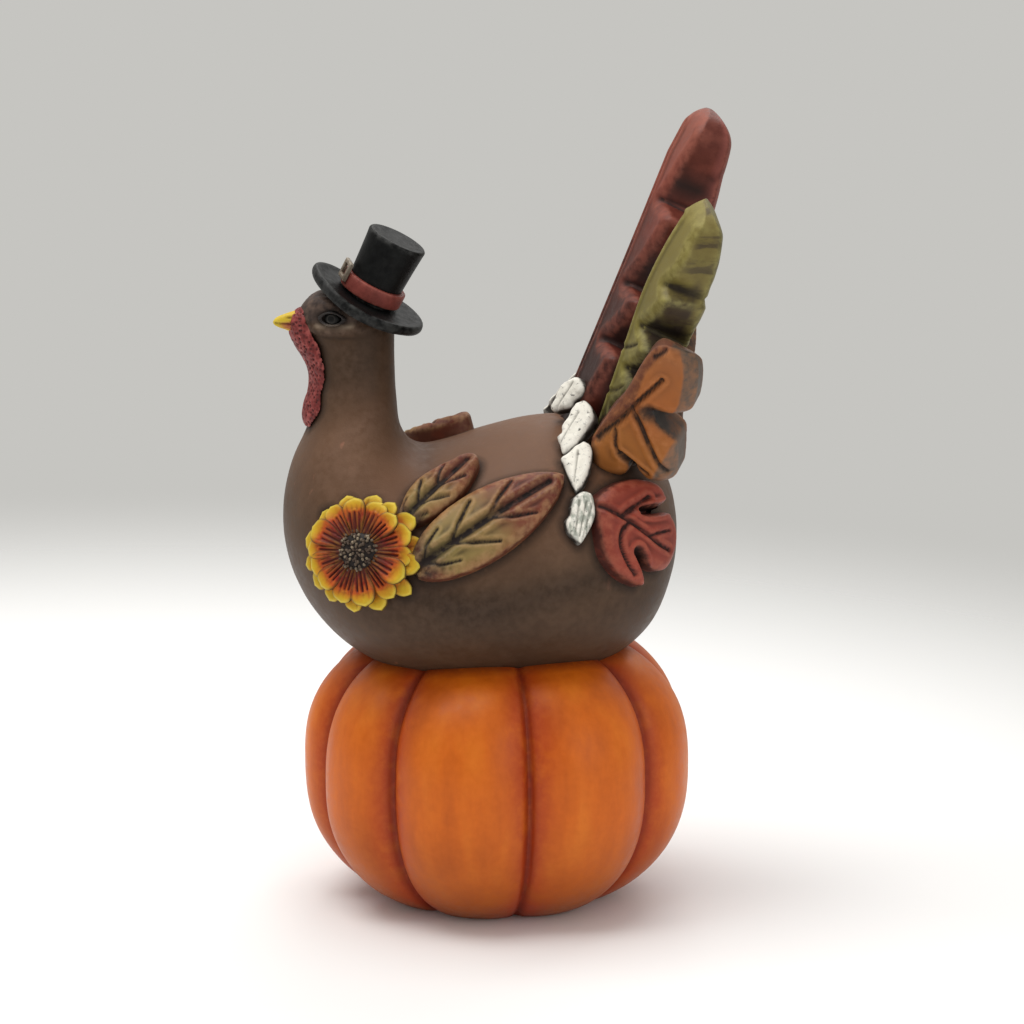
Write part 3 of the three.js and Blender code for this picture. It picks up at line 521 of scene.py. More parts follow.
def distance_to(points, line):
    """How far each point in the plane lies from a line of points."""
    nearest = np.full(len(points), 1e9)
    for start, end in zip(line[:-1], line[1:]):
        run = end - start
        share = np.clip((points - start) @ run / max(run @ run, 1e-18), 0, 1)
        nearest = np.minimum(nearest, np.linalg.norm(points - start - share[:, None] * run, axis=1))
    return nearest


def turns_right(first, second, third):
    """Whether the way through three points in the plane runs straight or turns right at the second."""
    return np.cross(np.subtract(second, first), np.subtract(third, second)) <= 0


def pocket(points, outline):
    """How far each point lies inside the string drawn tight round an outline: deep in its notches."""
    order = sorted(map(tuple, outline))
    hull = []
    for run in (order, order[::-1]):
        side = []
        for point in run:
            while len(side) > 1 and turns_right(side[-2], side[-1], point):
                side.pop()
            side.append(point)
        hull += side[:-1]
    hull = np.array(hull)
    inside = np.full(len(points), 1e9)
    for start, end in zip(hull, np.roll(hull, -1, axis=0)):
        run = (end - start) / np.linalg.norm(end - start)
        inside = np.minimum(inside, (points - start) @ np.array((-run[1], run[0])))
    return inside


def leaf_blank(name, outline, thickness, voxel):
    """A leaf cut out of a slab: the outline filled, raised to its thickness and cast."""
    bpy.ops.mesh.primitive_circle_add(
        vertices=len(outline), radius=MM, fill_type="NGON", location=(0, 0, 0), enter_editmode=False)
    piece = bpy.context.object
    piece.name = name
    flat = np.zeros((len(outline), 3))
    flat[:, :2] = outline
    put_points(piece, flat)
    edit(piece)
    bpy.ops.mesh.extrude_region_move(TRANSFORM_OT_translate={"value": (0, 0, thickness)})
    done()
    return cast(piece, voxel, 3)


def filled_out(half, length, back_share):
    """How much wider than its front a leaf is at its back, where its notches fade out."""
    side = curve_through(half, 5)
    order = np.argsort(side[:, 0])
    at, reach = side[order, 0], np.maximum(side[order, 1], 0.02)
    steps = np.linspace(0, 1, 201)
    whole = np.maximum.reduce([np.roll(np.interp(steps, at, reach), k) for k in range(-16, 17)])
    whole = np.convolve(np.pad(whole, 8, mode="edge"), np.ones(17) / 17, mode="valid")

    def widen(u, front_share):
        share = np.clip(u / length, 0, 1)
        near_tip = np.clip((1 - share) / 0.12, 0, 1)
        more = np.interp(share, steps, whole) / np.interp(share, at, reach) - 1
        return 1 + back_share * near_tip * np.clip(more, 0, 3) * (1 - front_share)

    return widen


def carve_leaf(piece, outline, thickness, bevel, veins, taper=None, widen=None):
    """Rounds the rim of a flat leaf, thins it toward its tip, cuts its veins and marks them for the paint.

    The front of the leaf ends at height zero and its back lies below. Taper: how much thinner, and how late.
    """
    points = points_of(piece)
    flat = points[:, :2].copy()
    edge = distance_to(flat, np.vstack([outline, outline[:1]]))
    low, high = outline[:, 0].min(), outline[:, 0].max()
    share = np.clip((flat[:, 0] - low) / (high - low), 0, 1)
    front_share = np.clip(points[:, 2] / thickness, 0, 1)
    wide, fall, under = (value * MM for value in bevel)
    thin = np.ones(len(points))
    sunk = np.zeros(len(points))
    if taper:
        thin = 1 - taper[0] * share ** taper[1]
        tip = np.sqrt(1 - np.clip((share - 0.93) / 0.07, 0, 1) ** 2)
        sunk = 0.42 * thickness * thin * (1 - tip)
        thin *= tip
    drop = thin * fall * np.clip(1 - edge / wide, 0, 1) ** 1.8 * front_share
    raised = thin * under * np.clip(1 - edge / (1.6 * under), 0, 1) ** 1.8 * (1 - front_share)
    depth_here = (points[:, 2] - thickness) * thin - sunk - drop + raised
    front = points[:, 2] > 0.6 * thickness
    cut = np.zeros(len(points))
    for drawn, vein_width, depth in veins:
        away = distance_to(flat, drawn)
        run = max(np.abs(drawn[-1] - drawn[0]).max(), 1e-9)
        taper_off = 1 - 0.4 * np.clip(np.abs(flat - drawn[0]).max(axis=1) / run, 0, 1)
        mask = np.exp(-((away / (vein_width * MM * taper_off)) ** 2))
        lip = np.exp(-(((away - 1.9 * vein_width * MM) / (0.6 * vein_width * MM)) ** 2))
        fresh = np.maximum(mask - cut, 0)
        raised_lip = 0.22 * lip * (1 - cut)
        depth_here += depth * MM * np.where(front, raised_lip - fresh, 0.4 * fresh)
        cut = np.maximum(cut, mask)
    points[:, 2] = depth_here
    if widen:
        points[:, 1] *= widen(points[:, 0], front_share)
    put_points(piece, points)
    normal = points_of(piece, "normal")
    mark(piece, "along", share)
    mark(piece, "vein", cut * np.where(front, 1, 0.6))
    mark(piece, "rim", 1 - edge / (2.2 * MM))
    mark(piece, "wall", (0.72 - np.abs(normal[:, 2])) / 0.35)
    mark(piece, "back", (0.1 - normal[:, 2]) / 0.4)
    mark(piece, "face", front_share)
    mark(piece, "notch", (pocket(flat, outline) - 2.0 * MM) / (3.2 * MM))
    mark_relief(piece)
    return piece


def skin_under(start, along, across, front, length, width):
    """The height of the body's skin under a leaf, as a smooth function of the place on the leaf."""
    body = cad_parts["turkey_body"].data
    tree = BVHTree.FromPolygons([v.co for v in body.vertices], [p.vertices for p in body.polygons])
    rows, heights = [], []
    for u in np.linspace(-0.05, 1.05, 23) * length:
        for w in np.linspace(-0.6, 0.6, 17) * width:
            origin = start + along * u + across * w + front * 0.03
            hit = tree.ray_cast(origin, -front, 0.06)[0]
            if hit is not None:
                rows.append((1, u, w, u * u, u * w, w * w, u * u * u, u * u * w, u * w * w, w * w * w))
                heights.append((hit - start).dot(front))
    scale = np.array([length ** k for k in (0, 1, 1, 2, 2, 2, 3, 3, 3, 3)])
    factors = np.linalg.lstsq(np.array(rows) / scale, np.array(heights), rcond=None)[0] / scale

    def height(u, w):
        terms = (np.ones_like(u), u, w, u * u, u * w, w * w, u * u * u, u * u * w, u * w * w, w * w * w)
        return sum(f * t for f, t in zip(factors, terms))

    return height


def lay(piece, start, along, across, front, lift):
    """Bends a flat leaf to its place: lift gives the height of its front at each place on it."""
    points = points_of(piece)
    u, w, h = points.T
    face = np.empty(len(points), np.float32)
    piece.data.attributes["face"].data.foreach_get("value", face)
    high = h + lift(u, w, face)
    placed = np.array(start) + np.outer(u, along) + np.outer(w, across) + np.outer(high, front)
    put_points(piece, placed)
    # Which way each place faces; upper keeps the notch walls that face up clear of the painted shade.
    high = points_of(piece, "normal")[:, 2]
    mark(piece, "under", 0.15 - 1.3 * high)
    mark(piece, "upper", 1.4 * high - 0.2)
    return piece


# Paint


def node(tree, kind, inputs=None, **settings):
    """Adds one shader node. An input is a value or another node's output."""
    made = tree.nodes.new("ShaderNode" + kind)
    for key, value in settings.items():
        setattr(made, key, value)
    for key, value in (inputs or {}).items():
        if isinstance(value, bpy.types.NodeSocket):
            tree.links.new(value, made.inputs[key])
        else:
            made.inputs[key].default_value = value
    return made


def value_of(tree, name):
    """One of the numbers that mark keeps on the vertices."""
    return node(tree, "Attribute", attribute_name=name, attribute_type="GEOMETRY").outputs["Fac"]


def math_of(tree, operation, first, second, clamp=True):
    return node(tree, "Math", {0: first, 1: second}, operation=operation, use_clamp=clamp).outputs[0]


def times(tree, first, second, clamp=True):
    return math_of(tree, "MULTIPLY", first, second, clamp)


def plus(tree, first, second, clamp=True):
    return math_of(tree, "ADD", first, second, clamp)


def blend(tree, share, first, second, how="MIX"):
    inputs = {0: share, 6: first, 7: second}
    return node(tree, "Mix", inputs, data_type="RGBA", blend_type=how, clamp_factor=True).outputs[2]


def spread(tree, value, low, high):
    """The value stretched so that low becomes 0 and high becomes 1."""
    inputs = {"Value": value, "From Min": low, "From Max": high}
    return node(tree, "MapRange", inputs, clamp=True).outputs[0]


def dab(tree, colour, mask, share, rgb):
    """A second colour laid over the first where the mask says."""
    return blend(tree, times(tree, mask, share), colour, tone(*rgb))


def ramp(tree, value, *stops):
    """Colours by value. A stop is a position and a colour, as tone takes it or as the settings hold it."""
    made = node(tree, "ValToRGB", {0: value})
    elements = made.color_ramp.elements
    while len(elements) < len(stops):
        elements.new(0.5)
    for element, (position, colour) in zip(elements, stops):
        element.position = position
        element.color = tone(*colour) if len(colour) == 3 else colour
    return made.outputs[0]


def clouds(tree, scale, detail=4.0, stretch=None):
    """Soft noise in the object's own space, one cloud to about 1/scale metres."""
    coordinates = node(tree, "TexCoord").outputs["Object"]
    if stretch:
        coordinates = node(tree, "Mapping", {"Vector": coordinates, "Scale": stretch}).outputs[0]
    inputs = {"Vector": coordinates, "Scale": scale, "Detail": detail, "Roughness": 0.55}
    return node(tree, "TexNoise", inputs).outputs[0]


def speckled(scale, detail, *stops):
    """A source of colour that follows soft noise alone."""
    return lambda tree: ramp(tree, clouds(tree, scale, detail), *stops)


def antiqued_group():
    """Shared finish of the castings: mottled colour, dark wash in the hollows, edges rubbed lighter."""
    found = bpy.data.node_groups.get("Antiqued paint")
    if found:
        return found
    tree = bpy.data.node_groups.new("Antiqued paint", "ShaderNodeTree")
    for name, kind in (
        ("Colour", "NodeSocketColor"), ("Wash colour", "NodeSocketColor"),
        ("Rub colour", "NodeSocketColor"), ("Wash", "NodeSocketFloat"), ("Rub", "NodeSocketFloat"),
        ("Mottle", "NodeSocketFloat"), ("Gloss", "NodeSocketFloat"),
    ):
        tree.interface.new_socket(name=name, in_out="INPUT", socket_type=kind)
    for name, kind in (("Colour", "NodeSocketColor"), ("Roughness", "NodeSocketFloat"),
                       ("Height", "NodeSocketFloat")):
        tree.interface.new_socket(name=name, in_out="OUTPUT", socket_type=kind)
    given = tree.nodes.new("NodeGroupInput").outputs
    broad = clouds(tree, 110)
    small = clouds(tree, 620, 5)
    grain = clouds(tree, 2600, 2)
    light = node(tree, "Math", {0: broad, 1: 0.55, 2: 0.45}, operation="MULTIPLY_ADD").outputs[0]
    light = plus(tree, light, times(tree, small, 0.55, False), False)
    toned = blend(tree, given["Mottle"], given["Colour"], light, "MULTIPLY")
    wash = times(tree, given["Wash"], spread(tree, small, 0.1, 0.5))
    washed = blend(tree, wash, toned, given["Wash colour"])
    rub = times(tree, given["Rub"], spread(tree, small, 0.36, 0.62))
    rubbed = blend(tree, rub, washed, given["Rub colour"])
    uneven = times(tree, spread(tree, small, 0.25, 0.75), 0.2, False)
    rough = plus(tree, given["Gloss"], uneven)
    rough = plus(tree, rough, times(tree, wash, 0.15))
    result = tree.nodes.new("NodeGroupOutput").inputs
    tree.links.new(rubbed, result["Colour"])
    tree.links.new(rough, result["Roughness"])
    tree.links.new(plus(tree, grain, small, False), result["Height"])
    return tree


def painted(name, source, wash=(40, 26, 18), rub=(190, 160, 130), washing=0.8, rubbing=0.25, mottle=0.5,
            gloss=0.42, grain=0.12, wash_from="hollow", shine=0.25):
    """A painted casting. Source draws the colour before the wash and the rub."""
    made = bpy.data.materials.new(name)
    made.use_nodes = True
    tree = made.node_tree
    shader = tree.nodes["Principled BSDF"]
    finish = node(tree, "Group", node_tree=antiqued_group())
    tree.links.new(source(tree), finish.inputs["Colour"])
    finish.inputs["Wash colour"].default_value = tone(*wash)
    finish.inputs["Rub colour"].default_value = tone(*rub)
    # The wash covers the hollows and, as painted shade, the skin round glued pieces.
    hollow = math_of(tree, "MAXIMUM", value_of(tree, "hollow"),
                     spread(tree, value_of(tree, "near"), 0.2, 0.9))
    if wash_from != "hollow":
        hollow = math_of(tree, "MAXIMUM", hollow, value_of(tree, wash_from))
    tree.links.new(times(tree, hollow, washing), finish.inputs["Wash"])
    tree.links.new(times(tree, value_of(tree, "ridge"), rubbing), finish.inputs["Rub"])
    finish.inputs["Mottle"].default_value = mottle
    finish.inputs["Gloss"].default_value = gloss
    shader.inputs["Specular IOR Level"].default_value = shine
    bump = node(tree, "Bump", {"Height": finish.outputs["Height"], "Strength": grain, "Distance": 0.0003})
    tree.links.new(finish.outputs["Colour"], shader.inputs["Base Color"])
    tree.links.new(finish.outputs["Roughness"], shader.inputs["Roughness"])
    tree.links.new(bump.outputs[0], shader.inputs["Normal"])
    return made


def leaf_paint(name, stops, rim, wall, dark, rimming, back=None, strip=None, strokes=None, low_wall=None,
               patches=(), **finish):
    """The paint of a leaf: colours from stalk to tip, others on its rim, wall and back, and painted shade in
    its notches.
    """
    def source(tree):
        drift = math_of(tree, "MULTIPLY_ADD", clouds(tree, 150), 0.3, False)
        drift.node.inputs[2].default_value = -0.15
        along = plus(tree, value_of(tree, "along"), drift)
        colour = ramp(tree, along, *stops)
        streaks = spread(tree, clouds(tree, 260, 5), 0.35, 0.65)
        edge = times(tree, value_of(tree, "rim"), streaks)
        colour = dab(tree, colour, edge, rimming, rim)
        side = times(tree, value_of(tree, "wall"), spread(tree, clouds(tree, 200, 4), 0.2, 0.5))
        sides = tone(*wall)
        if low_wall:
            sides = blend(tree, spread(tree, along, 0.78, 0.66), sides, tone(*low_wall))
        colour = blend(tree, side, colour, sides)
        for mask, rgb in patches:
            colour = dab(tree, colour, value_of(tree, mask), 0.95, rgb)
        if strip:
            edge = times(tree, value_of(tree, "wall"), spread(tree, value_of(tree, "face"), 0.3, 0.12))
            colour = dab(tree, colour, edge, 0.85, strip)
        if strokes:
            brush = spread(tree, clouds(tree, 420, 5, (0.25, 0.25, 1)), 0.5, 0.58)
            brush = times(tree, brush, spread(tree, value_of(tree, "face"), 0.98, 0.7))
            colour = dab(tree, colour, brush, 0.8, strokes)
        # Painted shade in the notches, on their walls, except where a wall faces up.
        deep = times(tree, value_of(tree, "wall"), value_of(tree, "notch"))
        deep = times(tree, deep, spread(tree, value_of(tree, "upper"), 0.5, 0.0))
        colour = dab(tree, colour, deep, 0.92, dark)
        if back:
            colour = dab(tree, colour, value_of(tree, "back"), 0.7, back)
        return colour

    return painted(name, source, wash_from="vein", **finish)


# Operators, one for each piece or group of like pieces


class FIGURE_OT_pumpkin(bpy.types.Operator):
    """Adds the ribbed pumpkin that carries the turkey"""

    bl_idname = "figure.pumpkin"
    bl_label = "Pumpkin"

    def execute(self, context):
        sizes = context.scene.figure_pumpkin
        bpy.ops.mesh.primitive_uv_sphere_add(segments=432, ring_count=110, radius=sizes.radius,
                                             location=(0, 0, 0))
        piece = context.object
        piece.name = "pumpkin_shell"
        points = points_of(piece) / sizes.radius
        turn = np.degrees(np.arctan2(points[:, 1], points[:, 0]))
        polar = np.arccos(np.clip(points[:, 2], -1, 1))
        power = 2 / np.where(polar > math.pi / 2, sizes.squareness - 0.1, sizes.squareness)
        radius = sizes.radius * np.maximum(np.sin(polar), 0) ** power
        rise = np.sign(np.cos(polar)) * np.abs(np.cos(polar)) ** power
        height = sizes.waist + rise * np.where(rise > 0, sizes.upper, sizes.lower)
        across, gap = self.ribs(turn, radius)
        valley = sizes.groove * across ** 2.6 * radius / sizes.radius
        cut = sizes.crease * np.exp(-((gap / (1.0 * MM)) ** 2)) * np.clip(radius / sizes.radius * 1.6, 0, 1)
        uneven = np.array([noise.noise(Vector(p) * 2.3) for p in points]) * 0.25 * MM
        reach = radius - valley - cut + uneven * (radius > 0.004)
        around = np.radians(turn)
        foot = np.maximum(height, 0)
        put_points(piece, np.column_stack([reach * np.cos(around), reach * np.sin(around), foot]))
        mark(piece, "crease", np.exp(-((gap / (1.15 * MM)) ** 2)))
        wander = np.array([noise.noise(Vector((p[0] * 3, p[1] * 3, p[2] * 1.2))) for p in points])
        mark(piece, "valley", np.exp(-((gap / ((4.6 + 2.6 * wander) * MM)) ** 2)))
        mark(piece, "rise", foot / 0.06)
        mark_relief(piece, turns=10, scale=0.3)
        settle(piece, "pumpkin_paint", self.paint(context.scene.figure_paint.pumpkin), "pumpkin_base")
        return {"FINISHED"}

    def ribs(self, turn, radius):
        """For each place: 0 on the middle of a rib to 1 in a groove, and the way to that groove in metres."""
        from_start = (turn - RIB_START) % 360
        edges = np.concatenate([[0], np.cumsum(RIB_DEGREES)])
        rib = np.clip(np.searchsorted(edges, from_start, side="right") - 1, 0, len(RIB_DEGREES) - 1)
        width = np.array(RIB_DEGREES)[rib]
        share = (from_start - edges[rib]) / width
        gap = np.minimum(share, 1 - share) * np.radians(width) * radius
        return np.abs(2 * share - 1), gap

    def paint(self, main):
        def source(tree):
            streaks = clouds(tree, 130, 5, (1, 1, 0.22))
            colour = ramp(tree, streaks, (0.28, (184, 84, 12)), (0.5, main), (0.72, (214, 112, 24)))
            # Painted shade: darker toward the bottom and in broad bands along the valleys.
            low = spread(tree, value_of(tree, "rise"), 0.42, 0.0)
            colour = dab(tree, colour, low, 0.85, (134, 67, 16))
            shade = times(tree, value_of(tree, "valley"), spread(tree, clouds(tree, 210, 5), 0.15, 0.5))
            return dab(tree, colour, shade, 0.85, (160, 46, 17))

        return painted("pumpkin_paint", source, wash=(98, 30, 16), rub=(230, 150, 70), washing=0.62,
                       rubbing=0.12, mottle=0.28, gloss=0.3, grain=0.08, wash_from="crease")


class FIGURE_OT_body(bpy.types.Operator):
    """Adds the turkey's body, neck and head, and the block that carries its tail"""

    bl_idname = "figure.body"
    bl_label = "Body"

    def execute(self, context):
        piece = cast_from_node("turkey_skin", "turkey_body", corner=60, levels=2, voxel=0.62, turns=6)
        self.face(piece)
        mark_relief(piece, turns=16, scale=0.25)
        points = points_of(piece) / MM
        lid_line = EYE_PLACE[0][2] - 1.65 + 0.1 * np.maximum(points[:, 0] - EYE_PLACE[0][0] - 2, 0)
        # The head above the lower lid is darker: partly its own colour, partly painted shadow of the hat brim.
        mark(piece, "head", (points[:, 2] - lid_line) / 1.0)
        # Painted light from above: lighter where the skin faces up, painted shade where it faces down.
        facing = points_of(piece, "normal")[:, 2]
        mark(piece, "upward", 1.3 * facing - 0.1)
        mark(piece, "downward", -1.5 * facing + 0.15)
        # Painted shade on the flank, under the lower edge of the wing.
        both = points * np.where(points[:, 1:2] > 0, (1, -1, 1), 1)
        edge = curve_through(WING_SHADE, 8)
        below = np.minimum.reduce([np.linalg.norm(both - spot, axis=1) for spot in edge])
        mark(piece, "shade", 1.0 - below / 5)
        along = points[:, 0] - EYE_PLACE[0][0]
        line = np.exp(-(((points[:, 2] - lid_line + 0.1) / 0.45) ** 2))
        mark(piece, "lid", line * np.clip((4.4 - np.abs(along - 0.6)) / 1.0, 0, 1))
        paint = self.paint(context.scene.figure_paint.body)
        settle(piece, "body_paint", paint, "turkey_body")
        root = copy_of_node("tail_block", "tail_root")
        modify(root, "SUBSURF", levels=2, subdivision_type="CATMULL_CLARK")
        cast(root, voxel=0.6, turns=4)
        mark_relief(root)
        settle(root, "body_paint", paint, "tail_root")
        return {"FINISHED"}

    def face(self, piece):
        """Sinks the eye sockets, raises the brows and cheeks and brings the front of the head forward."""
        points = points_of(piece)
        normal = points_of(piece, "normal")
        push = np.zeros(len(points))
        for side in (1, -1):
            centre = np.array(EYE_PLACE[0]) * (1, side, 1) * MM
            away = points - centre
            along = away[:, 0] / MM
            high = away[:, 2] / MM
            near = (np.abs(away[:, 1]) < 5 * MM)
            socket = np.exp(-((along / 2.9) ** 2 + (high / 1.9) ** 2))
            brow = np.exp(-((along / 4.2) ** 2 + ((high - 3.0 - 0.12 * along) / 1.1) ** 2))
            cheek = np.exp(-(((along - 0.8) / 4.6) ** 2 + ((high + 2.7) / 0.9) ** 2))
            crease = np.exp(-(((along - 0.8) / 4.6) ** 2 + ((high + 4.0) / 0.55) ** 2))
            push += near * (0.5 * brow + 0.42 * cheek - 0.6 * socket - 0.25 * crease) * MM
        height = np.mean([corner[2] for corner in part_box("beak")])
        foremost = points[np.abs(points[:, 2] - height) < 3 * MM, 0].min()
        back, rise = points[:, 0] - foremost, points[:, 2] - height
        muzzle = np.exp(-((back / (3.5 * MM)) ** 2 + (rise / (4.5 * MM)) ** 2))
        points[:, 0] -= 1.8 * MM * muzzle
        drift = np.array([noise.noise(Vector(p) * 160) for p in points]) * 0.07 * MM
        put_points(piece, points + normal * (push + drift)[:, None])

    def paint(self, main):
        def source(tree):
            colour = ramp(tree, clouds(tree, 42, 4), (0.3, (58, 42, 30)), (0.5, main), (0.7, (88, 66, 48)))
            # Painted highlight on the skin that faces up, painted shade where it faces down and under the
            # wing, and the head darkened partly by the painted shadow of the brim.
            for mask, share, rgb in (
                ("upward", 0.62, (128, 92, 70)), ("downward", 0.45, (68, 48, 33)),
                ("shade", 0.65, (44, 31, 22)), ("head", 0.85, (50, 44, 43)), ("lid", 0.9, (168, 150, 128)),
            ):
                colour = dab(tree, colour, value_of(tree, mask), share, rgb)
            scuffs = spread(tree, clouds(tree, 320, 6, (1, 1, 0.5)), 0.66, 0.74)
            where = spread(tree, clouds(tree, 34, 2), 0.52, 0.62)
            worn = times(tree, scuffs, where)
            return dab(tree, colour, worn, 0.45, (158, 104, 82))

        return painted("body_paint", source, wash=(30, 22, 18), rub=(150, 124, 108), washing=0.8,
                       rubbing=0.3, mottle=0.3, gloss=0.4, grain=0.1, shine=0.16)


class FIGURE_OT_eyes(bpy.types.Operator):
    """Adds the two eyes with their lids"""

    bl_idname = "figure.eyes"
    bl_label = "Eyes"

    def execute(self, context):
        centre, front = EYE_PLACE
        back = Vector(front).normalized()
        side = UP.cross(back).normalized()
        stand = Matrix((side, back.cross(side), back)).transposed().to_4x4()
        spot = Matrix.Translation(Vector(centre) * MM) @ stand
        ball_radius, lid_radius = 1.9 * MM, 2.15 * MM
        bpy.ops.mesh.primitive_uv_sphere_add(
            segments=48, ring_count=32, radius=ball_radius, location=(0, 0, 0))
        ball = context.object
        ball.name = "left_eyeball"
        points = points_of(ball)
        mark(ball, "away", np.hypot(points[:, 0], points[:, 1]) / ball_radius + (points[:, 2] < 0))
        place(ball, spot @ Matrix.Translation((0, 0, -1.25 * MM)))
        bpy.ops.mesh.primitive_torus_add(
            major_segments=72, minor_segments=20, major_radius=lid_radius, minor_radius=0.42 * MM,
            location=(0, 0, 0))
        lids = context.object
        lids.name = "left_eyelids"
        points = points_of(lids)
        wide = points[:, 0] / lid_radius
        points[:, 0] *= 1.22
        points[:, 1] *= 0.62 - 0.12 * np.clip(np.abs(wide), 0, 1) ** 2
        points[:, 2] += (0.15 - 0.5 * wide ** 2) * MM + np.where(points[:, 1] > 0, 0.15 * MM, 0)
        put_points(lids, points)
        mark(lids, "low", (-points[:, 1] - 0.9 * MM) / (0.35 * MM))
        place(lids, spot)
        mark_relief(lids, turns=4, scale=0.1)

        def lid_source(tree):
            return blend(tree, value_of(tree, "low"), tone(34, 29, 28), tone(84, 74, 65))

        lid_paint = painted("eyelid_paint", lid_source, wash=(20, 15, 12), rub=(120, 108, 96), washing=1.0,
                            rubbing=0.2, mottle=0.3, gloss=0.4)
        eye_paint = self.paint()
        for piece, slot, paint, node_name in (
            (ball, "eye_paint", eye_paint, "eye"), (lids, "body_paint", lid_paint, None),
        ):
            twin = other_side(piece, piece.name.replace("left", "right"))
            settle(piece, slot, paint, *(["left_" + node_name] if node_name else []))
            settle(twin, slot, paint, *(["right_" + node_name] if node_name else []))
        return {"FINISHED"}

    def paint(self):
        made = bpy.data.materials.new("eye_paint")
        made.use_nodes = True
        tree = made.node_tree
        shader = tree.nodes["Principled BSDF"]
        away = plus(tree, value_of(tree, "away"), times(tree, clouds(tree, 2200), 0.1))
        colour = ramp(tree, away, (0.0, (6, 5, 5)), (0.4, (7, 6, 5)), (0.46, (44, 40, 36)),
                      (0.52, (30, 27, 24)), (0.6, (10, 9, 8)))
        tree.links.new(colour, shader.inputs["Base Color"])
        tree.links.new(spread(tree, away, -0.8, 2.5), shader.inputs["Roughness"])
        shader.inputs["Specular IOR Level"].default_value = 0.2
        return made


class FIGURE_OT_beak(bpy.types.Operator):
    """Adds the beak"""

    bl_idname = "figure.beak"
    bl_label = "Beak"

    def execute(self, context):
        piece = cast_from_node("beak_horn", "beak", corner=40, levels=3, voxel=0.18, turns=6)
        low, high = (np.array(corner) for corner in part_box("beak"))
        points = points_of(piece)
        normal = points_of(piece, "normal")
        along = (points[:, 0] - low[0]) / (high[0] - low[0])
        tip_height = points[np.argmin(points[:, 0]), 2]
        offset = points[:, 2] - tip_height
        blunt = 1 + 0.9 * np.exp(-along / 0.15)
        fuller = 1 + 1.3 * np.clip(along / 0.6, 0, 1) * (offset < 0)
        points[:, 2] = tip_height + offset * blunt * fuller
        points[:, 1] *= blunt
        mouth = tip_height - 0.1 * MM - 0.4 * MM * along
        cut = np.exp(-(((points[:, 2] - mouth) / (0.22 * MM)) ** 2)) * (along > 0.12)
        rise = points[:, 2] - tip_height
        nostril = np.exp(-((along - 0.52) / 0.09) ** 2 - ((rise - 1.1 * MM) / (0.3 * MM)) ** 2)
        put_points(piece, points - normal * (0.28 * MM * np.maximum(cut, nostril))[:, None])
        mark(piece, "along", along)
        gape = ((along - 0.62) / 0.36) ** 2 + ((points[:, 2] - mouth + 0.35 * MM) / (0.95 * MM)) ** 2
        mark(piece, "mouth", (1.3 - gape) * (np.abs(normal[:, 1]) > 0.3))
        mark(piece, "cut", np.maximum(cut, nostril) * 0.85)
        mark_relief(piece, turns=8, scale=0.12)

        def source(tree):
            along = plus(tree, value_of(tree, "along"), times(tree, clouds(tree, 900), 0.2))
            colour = ramp(tree, along, (0.04, (150, 122, 34)), (0.2, (206, 178, 44)),
                          (0.75, (210, 176, 46)), (1.0, (176, 110, 52)))
            return blend(tree, value_of(tree, "mouth"), colour, tone(168, 66, 58))

        paint = painted("beak_paint", source, wash=(86, 50, 20), rub=(250, 228, 110), washing=0.9,
                        rubbing=0.4, mottle=0.25, gloss=0.32, wash_from="cut")
        settle(piece, "beak_paint", paint, "beak")
        return {"FINISHED"}


class FIGURE_OT_wattle(bpy.types.Operator):
    """Adds the pitted wattle down the throat"""

    bl_idname = "figure.wattle"
    bl_label = "Wattle"

    def execute(self, context):
        piece = cast_from_node("wattle_flesh", "wattle", corner=40, levels=2, voxel=0.16, turns=8)
        points = points_of(piece)
        normal = points_of(piece, "normal")
        low, high = (np.array(corner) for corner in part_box("wattle"))
        beak = np.mean([corner[2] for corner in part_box("beak")])
        points[:, 2] -= 1.7 * MM * np.clip((points[:, 2] - beak + MM) / (high[2] - beak + MM), 0, 1)
        count = 40
        levels = np.linspace(low[2], high[2], count)
        slot = np.clip(np.digitize(points[:, 2], levels), 1, count - 1)
        filled = [k for k in range(1, count) if (slot == k).any()]
        foremost = np.interp(np.arange(1, count), filled, [points[slot == k, 0].min() for k in filled])
        edge = np.interp(points[:, 2], (levels[1:] + levels[:-1]) / 2, foremost)
        upper = np.clip((points[:, 2] - low[2]) / (high[2] - low[2]) * 2 - 0.9, 0, 1)
        points[:, 0] -= 0.24 * upper * (points[:, 0] - edge)
        cell = 0.8 * MM
        away = np.array([noise.voronoi(Vector(p / cell))[0][0] for p in points])
        pit = np.exp(-((away / 0.34) ** 2))
        lump = np.array([noise.noise(Vector(p) * 420) for p in points])
        put_points(piece, points + normal * (0.14 * MM * lump - 0.3 * MM * pit + 0.1 * MM)[:, None])
        mark(piece, "pit", pit * 1.1)
        mark_relief(piece, turns=8, scale=0.16)

        main = context.scene.figure_paint.wattle
        source = speckled(620, 4, (0.32, (96, 34, 32)), (0.5, main), (0.68, (152, 72, 68)))
        paint = painted("wattle_paint", source, wash=(46, 14, 16), rub=(216, 140, 128), washing=1.0,
                        rubbing=0.4, mottle=0.3, gloss=0.38, wash_from="pit")
        settle(piece, "wattle_paint", paint, "wattle")
        return {"FINISHED"}


